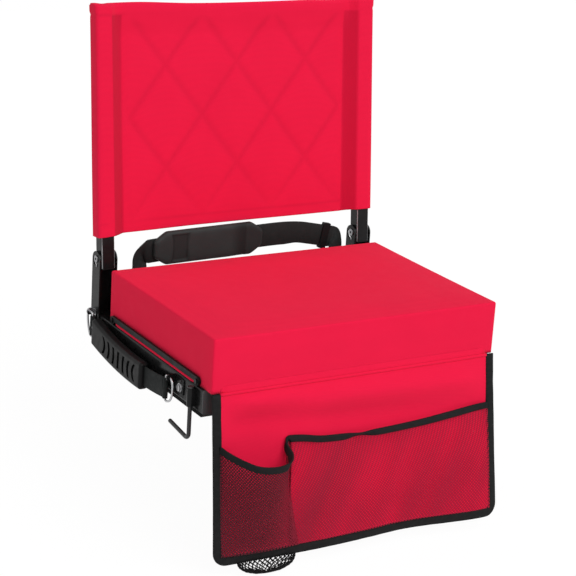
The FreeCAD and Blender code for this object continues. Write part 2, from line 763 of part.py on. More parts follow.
def back_cover():
    """One sewn cover: a pole pocket on each upright, slanted into a recessed quilted panel."""
    edge = UPRIGHT / 2 + POCKET_GAP + COVER_THICK
    out = RAIL_X + edge
    knee = out - POCKET_FLAT
    seam = knee - POCKET_SLANT_X
    front = panel_front()
    rear = front + PANEL_THICK
    top = BACK_BOTTOM + BACK_HEIGHT
    half_outline = [(out, -edge), (knee, -edge), (seam, front)]
    rear_outline = [(seam, rear), (knee, edge), (out, edge)]
    ring = [(-x, y) for x, y in half_outline] + [(x, y) for x, y in reversed(half_outline)]
    ring += [(x, y) for x, y in reversed(rear_outline)] + [(-x, y) for x, y in rear_outline]
    body = polygon([vec(x, y, BACK_BOTTOM) for x, y in ring], vec(0, 0, BACK_HEIGHT))
    upright_edges = edges_along(body, vec(0, 0, 1))
    outer_edges = [e for e in upright_edges if abs(e.Vertexes[0].X) > knee + CUT_PAST]
    body = body.makeFillet(POCKET_ROUND, outer_edges)
    body = body.cut(quilt_grooves(seam, BACK_BOTTOM + HEM_HEIGHT / 2, top - HEM_HEIGHT))
    y, z = crossbar_place()
    half = HEM_THICK / 2
    hem = rounded_box(-knee, knee, y - half, y + half, top - HEM_HEIGHT, top, vec(1, 0, 0), HEM_ROUND)
    body = body.fuse(hem)
    hollow = UPRIGHT / 2 + POCKET_GAP
    end = upright_top() + POCKET_GAP
    pockets = both_sides(box(
        -RAIL_X - hollow, -RAIL_X + hollow, -hollow, hollow, BACK_BOTTOM - CUT_PAST, end
    ))
    tunnel = rod(vec(-RAIL_X, y, z), vec(1, 0, 0), CROSSBAR_R + POCKET_GAP, 2 * RAIL_X)
    return back_placed(body.cut(list(pockets) + [tunnel]))


# Bench hooks


def hook_place():
    x = -(RAIL_OUT + HOOK_WIRE_R + FIT_GAP + SLEEVE_WALL)
    return vec(x, SEAT_FRONT + HOOK_SETBACK, 0)


def hook_sleeve():
    """Left sleeve on the rail's outer face, with a flat back."""
    at = hook_place()
    z = RAIL_TOP - (RAIL_HEIGHT + SLEEVE_HEIGHT) / 2
    outer = HOOK_WIRE_R + FIT_GAP + SLEEVE_WALL
    up = vec(0, 0, 1)
    body = rod(at + up * z, up, outer, SLEEVE_HEIGHT)
    base = box(at.x, -RAIL_OUT, at.y - outer, at.y + outer, z, z + SLEEVE_HEIGHT)
    body = body.fuse(base).removeSplitter()
    return body.cut(rod(at + up * z, up, HOOK_WIRE_R + FIT_GAP, SLEEVE_HEIGHT))


def bench_hook():
    """Left hook: headed leg in the sleeve, bent back under the bench plank."""
    at = hook_place()
    top = RAIL_TOP - (RAIL_HEIGHT - SLEEVE_HEIGHT) / 2 + END_PLAY
    up = vec(0, 0, 1)
    corner = at - up * HOOK_DROP
    tip = corner + vec(0, HOOK_REACH, HOOK_RISE)
    wire = wire_rod([at + up * top, corner, tip], HOOK_WIRE_R, HOOK_BEND)
    head = rod(at + up * top, up, HOOK_HEAD_R, HOOK_HEAD_H)
    end = Part.makeSphere(HOOK_WIRE_R, tip)
    return wire.fuse([head, end])


# Carry handle, built along Y from its front pivot, hanging down, outward to -X, then set to its slope


def handle_ends():
    front = vec(HANDLE_X, SEAT_FRONT + HANDLE_FRONT_Y, HANDLE_FRONT_Z)
    rear = vec(HANDLE_X, PIVOT_Y + HANDLE_REAR_Y, HANDLE_REAR_Z)
    return front, rear


def handle_span():
    front, rear = handle_ends()
    return (rear - front).Length


def handle_placed(shape):
    front, rear = handle_ends()
    shape = shape.copy()
    slope = math.degrees(math.atan2(rear.z - front.z, rear.y - front.y))
    shape.rotate(vec(0, 0, 0), vec(1, 0, 0), slope)
    shape.translate(front)
    return shape


def lug_plate(s, base):
    """Upright plate across the handle's axis, from the frame to past the ring's bar."""
    half = TAB_HALF
    face = [
        line(vec(base, s, half), vec(0, s, half)),
        arc(vec(0, s, half), vec(-half, s, 0), vec(0, s, -half)),
        line(vec(0, s, -half), vec(base, s, -half)),
        line(vec(base, s, -half), vec(base, s, half)),
    ]
    plate = filled(face, vec(0, LUG_THICK, 0))
    plate.translate(vec(0, -LUG_THICK / 2, 0))
    return plate


def ring_hole(s):
    return rod(vec(0, s - LUG_THICK, 0), vec(0, 1, 0), RING_WIRE_R + FIT_GAP, 2 * LUG_THICK)


def handle_front_tab():
    """Folded tab bolted to the rail."""
    base = HANDLE_STANDOFF
    foot = box(base - TAB_THICK, base, -TAB_LENGTH, LUG_THICK / 2, -TAB_DROP, TAB_HALF)
    body = foot.fuse(lug_plate(0, base)).removeSplitter()
    bolt = rod(vec(0, -TAB_BOLT_S, -TAB_BOLT_T), vec(1, 0, 0), SMALL_BOLT_R + HOLE_GAP, base)
    return handle_placed(body.cut([ring_hole(0), bolt]))


def handle_rear_lug():
    """Lug welded to the hinge bracket."""
    s = handle_span()
    base = HANDLE_STANDOFF - BRACKET_WALL
    foot = box(base - TAB_THICK, base, s - LUG_FOOT, s + LUG_THICK / 2, -TAB_HALF, TAB_HALF)
    return handle_placed(foot.fuse(lug_plate(s, base)).removeSplitter().cut(ring_hole(s)))


def handle_tab_bolt():
    face = HANDLE_STANDOFF - TAB_THICK - TAB_WASHER_H
    start = vec(face, -TAB_BOLT_S, -TAB_BOLT_T)
    x = vec(1, 0, 0)
    shank = rod(start, x, SMALL_BOLT_R, TAB_THICK + TAB_WASHER_H + RAIL_WALL + CAP_FLANGE)
    head = rod(start - x * BOLT_HEAD_H, x, BOLT_HEAD_R, BOLT_HEAD_H)
    return handle_placed(head.fuse(shank))


def handle_tab_washer():
    start = vec(HANDLE_STANDOFF - TAB_THICK - TAB_WASHER_H, -TAB_BOLT_S, -TAB_BOLT_T)
    disc = rod(start, vec(1, 0, 0), TAB_WASHER_R, TAB_WASHER_H)
    return handle_placed(disc.cut(rod(start, vec(1, 0, 0), SMALL_BOLT_R + HOLE_GAP, TAB_WASHER_H)))


def handle_rings():
    rings = []
    for s in (0, handle_span()):
        half = RING_LENGTH / 2
        points = [vec(0, s + y, z) for y, z in (
            (-half, 0), (half, 0), (half, -RING_HEIGHT), (-half, -RING_HEIGHT)
        )]
        rings.append(handle_placed(wire_rod(points, RING_WIRE_R, RING_BEND, closed=True)))
    return group(rings)


def strap_line():
    """Ends and sag of the arc that the handle's webbing hangs in: its radius and centre."""
    first = RING_LENGTH / 2
    last = handle_span() - RING_LENGTH / 2
    half = (last - first) / 2
    radius = (half ** 2 + HANDLE_SAG ** 2) / (2 * HANDLE_SAG)
    middle = (first + last) / 2
    return radius, vec(0, middle, radius - HANDLE_SAG - RING_HEIGHT / 2)


def band(first, last, half, inner, outer):
    """Part of the hanging arc from s first to last, half the height each way, between two X offsets."""
    radius, centre = strap_line()

    def at(r, s):
        return vec(outer, s, centre.z - math.sqrt(r ** 2 - (s - centre.y) ** 2))

    middle = (first + last) / 2
    high, low = radius - half, radius + half
    edges = [
        arc(at(high, first), at(high, middle), at(high, last)),
        line(at(high, last), at(low, last)),
        arc(at(low, last), at(low, middle), at(low, first)),
        line(at(low, first), at(high, first)),
    ]
    return filled(edges, vec(inner - outer, 0, 0))


def strap_rivet_place():
    radius, centre = strap_line()
    s = handle_span() - RING_LENGTH / 2 - STRAP_RIVET_BACK
    return vec(0, s, centre.z - math.sqrt(radius ** 2 - (s - centre.y) ** 2))


def strap_rivet_hole(radius):
    at = strap_rivet_place()
    return rod(at - vec(HANDLE_STRAP_THICK, 0, 0), vec(1, 0, 0), radius, 2 * HANDLE_STRAP_THICK)


def handle_strap():
    first = RING_LENGTH / 2
    last = handle_span() - first
    half = HANDLE_STRAP_THICK / 2
    bore = RING_WIRE_R + LOOP_GAP
    body = band(first, last, HANDLE_STRAP_WIDTH / 2, half, -half)
    for s in (first, last):
        foot = vec(0, s, -RING_HEIGHT / 2 - HANDLE_STRAP_WIDTH / 2)
        body = body.fuse(rod(foot, vec(0, 0, 1), bore + LOOP_WALL, HANDLE_STRAP_WIDTH))
    for s in (first, last):
        foot = vec(0, s, -RING_HEIGHT)
        body = body.cut(rod(foot, vec(0, 0, 1), bore, RING_HEIGHT))
    return handle_placed(body.cut(strap_rivet_hole(STRAP_RIVET_R + FIT_GAP)))


def handle_strap_rivet():
    at = strap_rivet_place()
    half = HANDLE_STRAP_THICK / 2
    x = vec(1, 0, 0)
    shank = rod(at - x * half, x, STRAP_RIVET_R, HANDLE_STRAP_THICK)
    heads = [
        rod(at - x * (half + STRAP_RIVET_HEAD_H), x, STRAP_RIVET_HEAD_R, STRAP_RIVET_HEAD_H),
        rod(at + x * half, x, STRAP_RIVET_HEAD_R, STRAP_RIVET_HEAD_H),
    ]
    return handle_placed(shank.fuse(heads))


def grip_ends():
    return GRIP_FRONT_GAP, handle_span() - GRIP_REAR_GAP


def grip_ribs():
    """Curved grooves across the grip's outer face; those at its ends bow towards its middle."""
    radius, centre = strap_line()
    mid_rib = (GRIP_RIBS - 1) / 2
    first, last = grip_ends()
    pitch = (last - first - GRIP_RIB_LEAD - GRIP_RIB_TAIL) / (GRIP_RIBS - 1)
    grooves = []
    for k in range(GRIP_RIBS):
        s = first + GRIP_RIB_LEAD + k * pitch
        level = centre.z - math.sqrt(radius ** 2 - (s - centre.y) ** 2)
        bow = (mid_rib - k) / mid_rib * GRIP_RIB_WIDTH
        x = -GRIP_OUTER - CUT_PAST

        def at(shift, z, bulge):
            return vec(x, s + shift + bulge, level + z)

        half = GRIP_RIB_WIDTH / 2
        nudge = bow if k != mid_rib else GRIP_RIB_BOW_MIN
        edges = [
            arc(at(-half, GRIP_RIB_HALF, 0), at(-half, 0, nudge), at(-half, -GRIP_RIB_HALF, 0)),
            line(at(-half, -GRIP_RIB_HALF, 0), at(half, -GRIP_RIB_HALF, 0)),
            arc(at(half, -GRIP_RIB_HALF, 0), at(half, 0, nudge), at(half, GRIP_RIB_HALF, 0)),
            line(at(half, GRIP_RIB_HALF, 0), at(-half, GRIP_RIB_HALF, 0)),
        ]
        grooves.append(filled(edges, vec(CUT_PAST + GRIP_RIB_DEPTH, 0, 0)))
    return grooves


def handle_grip():
    """Moulded grip around the webbing, ribbed on its outer face."""
    first, last = grip_ends()
    body = band(first, last, GRIP_HALF_HEIGHT, GRIP_INNER, -GRIP_OUTER)
    body = body.makeFillet(GRIP_ROUND, body.Edges)
    body = body.cut(grip_ribs())
    half = HANDLE_STRAP_THICK / 2 + LOOP_GAP
    slot = band(first - CUT_PAST, last + CUT_PAST, HANDLE_STRAP_WIDTH / 2 + LOOP_GAP, half, -half)
    return handle_placed(body.cut(slot))


# Shoulder strap


def shoulder_route():
    """Points of the strap's centre line, from the left ring's bar to the right ring's bar."""
    bar = STRAP_LUG_Z + STRAP_RING_HEIGHT
    top = RAIL_TOP + CUSHION_EDGE + STRAP_LEFT_TOP
    rise = RAIL_TOP + CUSHION_EDGE + STRAP_MIDDLE_RISE
    y = STRAP_PLANE
    return [
        vec(STRAP_LEFT_X, y, bar),
        vec(STRAP_LEFT_X, y, top),
        vec(RAIL_IN - STRAP_FALL_INSET, y, rise),
        vec(STRAP_RIGHT_X, y, rise - STRAP_FALL),
        vec(STRAP_RIGHT_X, y, bar),
    ]


def shoulder_strap():
    """Webbing that turns aside in the bends above its rings."""
    points = shoulder_route()
    edges = bent_edges(points, {1: STRAP_BEND, 2: STRAP_LONG_BEND, 3: STRAP_BEND})
    turn = math.radians(STRAP_TURN)
    turns = (0, -turn, 0, 0, 0, 0, turn, 0)
    body = ribbon(edges, turns, STRAP_WIDTH, STRAP_THICK)
    bore = STRAP_RING_R + LOOP_GAP
    for end in (points[0], points[-1]):
        start = end - vec(STRAP_WIDTH / 2, 0, 0)
        body = body.fuse(rod(start, vec(1, 0, 0), bore + LOOP_WALL, STRAP_WIDTH))
    for end in (points[0], points[-1]):
        start = end - vec(STRAP_WIDTH, 0, 0)
        body = body.cut(rod(start, vec(1, 0, 0), bore, 2 * STRAP_WIDTH))
    return body


def strap_rings():
    rings = []
    half = STRAP_RING_WIDTH / 2
    for x in (STRAP_LEFT_X, STRAP_RIGHT_X):
        points = [vec(x + dx, STRAP_PLANE, STRAP_LUG_Z + dz) for dx, dz in (
            (-half, 0), (half, 0), (half, STRAP_RING_HEIGHT), (-half, STRAP_RING_HEIGHT)
        )]
        rings.append(wire_rod(points, STRAP_RING_R, STRAP_RING_BEND, closed=True))
    return group(rings)


def strap_lugs():
    """Lugs welded to the rear cross tube, one for each ring."""
    rear = REAR_CROSS_Y + CROSS_WIDTH
    lugs = []
    for x in (STRAP_LEFT_X, STRAP_RIGHT_X):
        z0, z1 = STRAP_LUG_Z - STRAP_LUG_RISE, STRAP_LUG_Z + STRAP_LUG_RISE
        x0 = x - STRAP_LUG_THICK / 2
        x1 = x0 + STRAP_LUG_THICK
        end = STRAP_PLANE + STRAP_LUG_END
        body = rounded_box(x0, x1, rear, end, z0, z1, vec(1, 0, 0), STRAP_LUG_ROUND)
        place = vec(x0, STRAP_PLANE, STRAP_LUG_Z)
        hole = rod(place, vec(1, 0, 0), STRAP_RING_R + FIT_GAP, STRAP_LUG_THICK)
        lugs.append(body.cut(hole))
    return group(lugs)


def strap_level(x):
    """Height of the strap's straight middle run at x."""
    a, b = shoulder_route()[1], shoulder_route()[2]
    return a.z + (b.z - a.z) * (x - a.x) / (b.x - a.x)


def shoulder_pad():
    """Pad in front of the strap, tapered to its ends, with two webbing slots."""
    half = PAD_LENGTH / 2
    rear = STRAP_PLANE - STRAP_THICK / 2 - PAD_GAP
    z = strap_level(PAD_CENTRE_X)
    x = PAD_CENTRE_X
    low = [(-half, PAD_END_HEIGHT / 2), (PAD_TAPER - half, PAD_HEIGHT / 2)]
    low += [(half - PAD_TAPER, PAD_HEIGHT / 2), (half, PAD_END_HEIGHT / 2)]
    corners = [(dx, -dz) for dx, dz in low] + list(reversed(low))
    front = rear - PAD_THICK
    body = polygon([vec(x + dx, front, z + dz) for dx, dz in corners], vec(0, PAD_THICK, 0))
    body = body.makeFillet(PAD_TAPER / 2, edges_along(body, vec(0, 1, 0)))
    rim = [e for e in body.Edges if all(abs(v.Y - front) < NEAR for v in e.Vertexes)]
    body = body.makeFillet(PAD_ROUND, rim)
    wide, tall = PAD_SLOT_WIDTH / 2, PAD_SLOT_HEIGHT / 2
    slots = []
    for at in (x - PAD_SLOT_X, x + PAD_SLOT_X):
        slots.append(box(
            at - wide, at + wide, front - CUT_PAST, front + PAD_SLOT_DEPTH, z - tall, z + tall
        ))
    body = body.cut(slots)
    rise = strap_level(x + half) - strap_level(x - half)
    slope = math.degrees(math.atan2(rise, PAD_LENGTH))
    body.rotate(vec(x, rear, z), vec(0, -1, 0), slope)
    return body


def strap_buckle():
    """Sliding buckle: a flat frame around the strap on its falling run."""
    start, end = shoulder_route()[2], shoulder_route()[3]
    along = (end - start).normalize()
    centre = end - along * BUCKLE_BACK
    half = STRAP_WIDTH / 2 + BUCKLE_GAP
    deep = STRAP_THICK / 2 + BUCKLE_GAP
    outer = box(
        -BUCKLE_LENGTH / 2, BUCKLE_LENGTH / 2, -deep - BUCKLE_WALL / 2, deep + BUCKLE_WALL / 2,
        -half - BUCKLE_WALL, half + BUCKLE_WALL
    )
    outer = outer.makeFillet(BUCKLE_WALL / 2, edges_along(outer, vec(0, 1, 0)))
    body = outer.cut(box(-BUCKLE_LENGTH, BUCKLE_LENGTH, -deep, deep, -half, half))
    body.rotate(vec(0, 0, 0), vec(0, 1, 0), -math.degrees(math.atan2(along.z, along.x)))
    body.translate(centre)
    return body


# Pocket flap, built hanging straight down from its seam and then leaned forward


def flap_placed(shape):
    shape = shape.copy()
    shape.rotate(vec(0, 0, 0), vec(1, 0, 0), -FLAP_LEAN)
    aside = (FLAP_ROLL_R + FLAP_SEAM_GAP) * math.sqrt(0.5)
    shape.translate(vec(0, SEAT_FRONT - aside, RAIL_TOP - aside))
    return shape


def flap_outline(inset, front, thick):
    """The flap's outline drawn in by inset at its sides and foot, with round lower corners."""
    half = SEAT_WIDTH / 2 - inset
    foot = -FLAP_LENGTH + inset
    radius = FLAP_CORNER - inset
    lean = radius * (1 - math.sqrt(0.5))
    y = -front
    edges = [
        line(vec(-half, y, 0), vec(half, y, 0)),
        line(vec(half, y, 0), vec(half, y, foot + radius)),
        arc(vec(half, y, foot + radius), vec(half - lean, y, foot + lean), vec(half - radius, y, foot)),
        line(vec(half - radius, y, foot), vec(radius - half, y, foot)),
        arc(vec(radius - half, y, foot), vec(lean - half, y, foot + lean), vec(-half, y, foot + radius)),
        line(vec(-half, y, foot + radius), vec(-half, y, 0)),
    ]
    return filled(edges, vec(0, -thick, 0))


def pocket_flap():
    """Flap sheet that hangs from a rolled hem sewn under the cushion's front edge."""
    sheet = flap_outline(BINDING_WIDTH, -FLAP_THICK / 2, FLAP_THICK)
    half = SEAT_WIDTH / 2 - BINDING_WIDTH
    roll = rod(vec(-half, 0, 0), vec(1, 0, 0), FLAP_ROLL_R, 2 * half)
    return flap_placed(sheet.fuse(roll))


def flap_binding():
    """Binding tape along the sides and foot of the flap."""
    rim = flap_outline(0, -BINDING_THICK / 2, BINDING_THICK)
    return flap_placed(rim.cut(flap_outline(BINDING_WIDTH, -BINDING_THICK, 2 * BINDING_THICK)))


def pocket_front():
    """How far the pockets' sewn edges stand in front of the flap's middle plane."""
    return BINDING_THICK / 2 + MESH_GAP


def bulge_section(x0, x1, depth, dip, thick, z):
    """Closed outline of a thin sheet that bows forward by depth and down by dip between x0 and x1."""
    middle = (x0 + x1) / 2
    y = -pocket_front()
    back_a, back_b = vec(x0, y, z), vec(x1, y, z)
    front_a, front_b = vec(x0 - thick, y, z), vec(x1 + thick, y, z)
    return Part.Wire([
        line(front_a, back_a),
        arc(back_a, vec(middle, y - depth, z - dip), back_b),
        line(back_b, front_b),
        arc(front_b, vec(middle, y - depth - thick, z - dip * (1 + thick / depth)), front_a),
    ])


def down_pocket(drop):
    """Share of the way from the pockets' mouths to their foot."""
    return (drop - POCKET_TOP) / (POCKET_FOOT - POCKET_TOP)


def pocket_levels():
    under = POCKET_TOP + MOUTH_BINDING
    return under, (under + POCKET_FOOT) / 2, POCKET_FOOT


def cup_section(drop, thick):
    """The bottle pocket across its width: a deep bow at the mouth, nearly flat at the foot."""
    share = down_pocket(drop)
    left = -SEAT_WIDTH / 2 + CUP_LEFT
    right = left + CUP_WIDTH + (CUP_FOOT_WIDTH - CUP_WIDTH) * share
    depth = CUP_DEPTH + (CUP_FOOT_DEPTH - CUP_DEPTH) * share
    return bulge_section(left, right, depth, CUP_DIP * (1 - share), thick, -drop)


def cup_pocket():
    sections = [cup_section(drop, MESH_THICK) for drop in pocket_levels()]
    return flap_placed(Part.makeLoft(sections, True, True))


def cup_binding():
    levels = (POCKET_TOP, POCKET_TOP + MOUTH_BINDING)
    sections = [cup_section(drop, MOUTH_BINDING_THICK) for drop in levels]
    return flap_placed(Part.makeLoft(sections, True, True))


def net_bowl(inset):
    """Solid bowl under the flap's foot, below the bottle pocket, drawn in by inset."""
    middle = -SEAT_WIDTH / 2 + NET_LEFT + NET_WIDTH / 2
    back = BINDING_THICK / 2 - inset
    sections = []
    for drop, share in ((0.0, 1.0), (0.6, 0.85), (1.0, NET_CORE)):
        half = NET_WIDTH / 2 * share - inset
        depth = NET_DEPTH * share - inset
        z = -FLAP_LENGTH - MESH_GAP - NET_DROP * drop + (inset if drop else 0)
        a, b = vec(middle - half, back, z), vec(middle + half, back, z)
        sections.append(Part.Wire([line(b, a), arc(a, vec(middle, -depth, z), b)]))
    return Part.makeLoft(sections, True, True)


def cup_net():
    bowl = net_bowl(0)
    hollow = net_bowl(MESH_THICK)
    return flap_placed(bowl.cut(hollow))


def flat_section(drop, thick):
    """The flat pocket across its width, from the bottle pocket's foot to the flap's right binding."""
    share = down_pocket(drop)
    left = -SEAT_WIDTH / 2 + CUP_LEFT + CUP_FOOT_WIDTH + 2 * MOUTH_BINDING_THICK + FLAT_GAP
    right = SEAT_WIDTH / 2 - BINDING_WIDTH / 2
    depth = FLAT_DEPTH + (FLAT_FOOT_DEPTH - FLAT_DEPTH) * share
    return bulge_section(left, right, depth, FLAT_DIP * (1 - share), thick, -drop)


def flat_pocket():
    sections = [flat_section(drop, MESH_THICK) for drop in pocket_levels()]
    return flap_placed(Part.makeLoft(sections, True, True))


def flat_binding():
    levels = (POCKET_TOP, POCKET_TOP + MOUTH_BINDING)
    sections = [flat_section(drop, MOUTH_BINDING_THICK) for drop in levels]
    return flap_placed(Part.makeLoft(sections, True, True))


def parts():
    left_bar, right_bar = both_sides(edge_bar())
    left_strip, right_strip = both_sides(foot_strip())
    left_bracket, right_bracket = both_sides(hinge_bracket())
    left_upright, right_upright = both_sides(upright())
    left_sleeve, right_sleeve = both_sides(hook_sleeve())
    left_hook, right_hook = both_sides(bench_hook())
    return {
        "cushion_cover": cushion_cover(),
        "seat_foam": seat_foam(),
        "seat_board": seat_board(),
        "left_edge_bar": left_bar,
        "right_edge_bar": right_bar,
        "edge_bar_screws": edge_bar_screws(),
        "left_side_rail": side_rail(True),
        "right_side_rail": mirrored(side_rail(False)),
        "rail_end_caps": group(both_sides(rail_end_cap())),
        "front_cross_tube": cross_tube(RAIL_FRONT + CAP_FLANGE),
        "middle_cross_tube": cross_tube(-CROSS_WIDTH / 2),
        "rear_cross_tube": cross_tube(REAR_CROSS_Y),
        "board_bolts": board_bolts(),
        "left_foot_strip": left_strip,
        "right_foot_strip": right_strip,
        "middle_foot_pad": middle_pad(),
        "left_hinge_bracket": left_bracket,
        "right_hinge_bracket": right_bracket,
        "bracket_bolts": bracket_bolts(),
        "pivot_rivets": pivot_rivets(),
        "hinge_washers": hinge_washers(),
        "left_upright": left_upright,
        "right_upright": right_upright,
        "stop_pins": stop_pins(),
        "upright_plugs": upright_plugs(),
        "top_crossbar": top_crossbar(),
        "back_cover": back_cover(),
        "left_hook_sleeve": left_sleeve,
        "right_hook_sleeve": right_sleeve,
        "left_bench_hook": left_hook,
        "right_bench_hook": right_hook,
        "handle_front_tab": handle_front_tab(),
        "handle_rear_lug": handle_rear_lug(),
        "handle_tab_bolt": handle_tab_bolt(),
        "handle_tab_washer": handle_tab_washer(),
        "handle_rings": handle_rings(),
        "handle_strap": handle_strap(),
        "handle_strap_rivet": handle_strap_rivet(),
        "handle_grip": handle_grip(),
        "shoulder_strap": shoulder_strap(),
        "strap_rings": strap_rings(),
        "strap_lugs": strap_lugs(),
        "shoulder_pad": shoulder_pad(),
        "strap_buckle": strap_buckle(),
        "pocket_flap": pocket_flap(),
        "flap_binding": flap_binding(),
        "cup_pocket": cup_pocket(),
        "cup_pocket_binding": cup_binding(),
        "cup_pocket_net": cup_net(),
        "flat_pocket": flat_pocket(),
        "flat_pocket_binding": flat_binding(),
    }


def main():
    os.makedirs("parts", exist_ok=True)
    for name, shape in parts().items():
        shape.exportStep(os.path.join("parts", name + ".step"))


main()
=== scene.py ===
import bpy
import json
import math
from mathutils import Matrix, Quaternion, Vector, noise


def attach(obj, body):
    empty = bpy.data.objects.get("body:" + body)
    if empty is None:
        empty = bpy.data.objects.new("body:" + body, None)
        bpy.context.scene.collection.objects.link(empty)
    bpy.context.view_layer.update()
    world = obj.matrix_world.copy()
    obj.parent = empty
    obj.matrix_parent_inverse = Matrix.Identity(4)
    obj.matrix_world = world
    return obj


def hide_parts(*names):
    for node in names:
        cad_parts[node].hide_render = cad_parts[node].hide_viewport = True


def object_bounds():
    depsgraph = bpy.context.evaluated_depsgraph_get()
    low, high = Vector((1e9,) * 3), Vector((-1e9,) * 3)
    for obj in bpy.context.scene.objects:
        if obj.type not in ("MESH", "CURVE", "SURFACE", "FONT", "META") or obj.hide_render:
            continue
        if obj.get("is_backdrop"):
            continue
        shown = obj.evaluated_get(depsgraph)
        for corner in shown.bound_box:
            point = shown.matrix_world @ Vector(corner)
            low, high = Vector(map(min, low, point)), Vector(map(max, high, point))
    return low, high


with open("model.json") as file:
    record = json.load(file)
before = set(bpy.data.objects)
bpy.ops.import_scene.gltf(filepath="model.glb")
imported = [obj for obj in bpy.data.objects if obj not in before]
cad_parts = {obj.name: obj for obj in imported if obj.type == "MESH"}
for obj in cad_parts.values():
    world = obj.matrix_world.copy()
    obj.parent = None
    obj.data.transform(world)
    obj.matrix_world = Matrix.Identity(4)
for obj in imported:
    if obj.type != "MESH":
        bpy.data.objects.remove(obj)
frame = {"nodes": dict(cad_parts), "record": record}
cad_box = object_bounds()
nodes = frame["nodes"]
scene = bpy.context.scene
MM = 0.001

# Sizes of the CAD model that the pieces here share with it, in millimetres
HALF_WIDTH, HALF_DEPTH = 216.0, 151.0
RAIL_TOP, CUSHION_TOP, BOARD_TOP, DRAW_IN = 38.0, 110.5, 47.0, 1.2
PIVOT_Y, PIVOT_Z, RECLINE = 186.0, 117.0, math.radians(6.0)
UPRIGHT_X, TUBE_CORNER_START, TUBE_CORNER_FULL = 208.0, 8.5, 8.9
BACK_LOW, BACK_HIGH = 36.0, 347.0
FLAP_Y, FLAP_Z, FLAP_LEAN = -152.3435, 36.6565, math.radians(8.5)
FLAP_LENGTH, BINDING = 225.0, 12.0
HANDLE_X, HANDLE_Y, HANDLE_Z = -227.95, -60.0, 30.0
HANDLE_RISE, HANDLE_RUN = 11.0, 249.0
HANDLE_SLOPE = math.atan2(HANDLE_RISE, HANDLE_RUN)
HANDLE_SPAN = math.hypot(HANDLE_RISE, HANDLE_RUN)
STRAP_LEFT, STRAP_RIGHT, STRAP_PLANE, STRAP_BAR = -154.55, 168.55, 188.0, 46.0
STRAP_WIDTH, HANDLE_WEB_WIDTH, WEB_THICK = 32.0, 28.0, 2.2


def smooth(a, b, x):
    t = min(max((x - a) / (b - a), 0.0), 1.0)
    return t * t * (3 - 2 * t)


def mix(a, b, t):
    return a + (b - a) * t


def hump(x, middle, width):
    return math.exp(-((x - middle) / width) ** 2)


def back_point(x, v, u):
    """x across, v behind the uprights' middle, u up the back from its pivot."""
    c, s = math.cos(RECLINE), math.sin(RECLINE)
    return (x, PIVOT_Y + v * c + u * s, PIVOT_Z - v * s + u * c)


def flap_point(x, v, u):
    """x across, v in front of the flap's sheet, u down from its seam."""
    c, s = math.cos(FLAP_LEAN), math.sin(FLAP_LEAN)
    return (x, FLAP_Y - v * c - u * s, FLAP_Z + v * s - u * c)


def handle_point(n, s, t):
    """n outward from the rings' plane, s back from the front pivot, t down from the pivots."""
    c, k = math.cos(HANDLE_SLOPE), math.sin(HANDLE_SLOPE)
    return (HANDLE_X - n, HANDLE_Y + s * c + t * k, HANDLE_Z + s * k - t * c)


# Materials


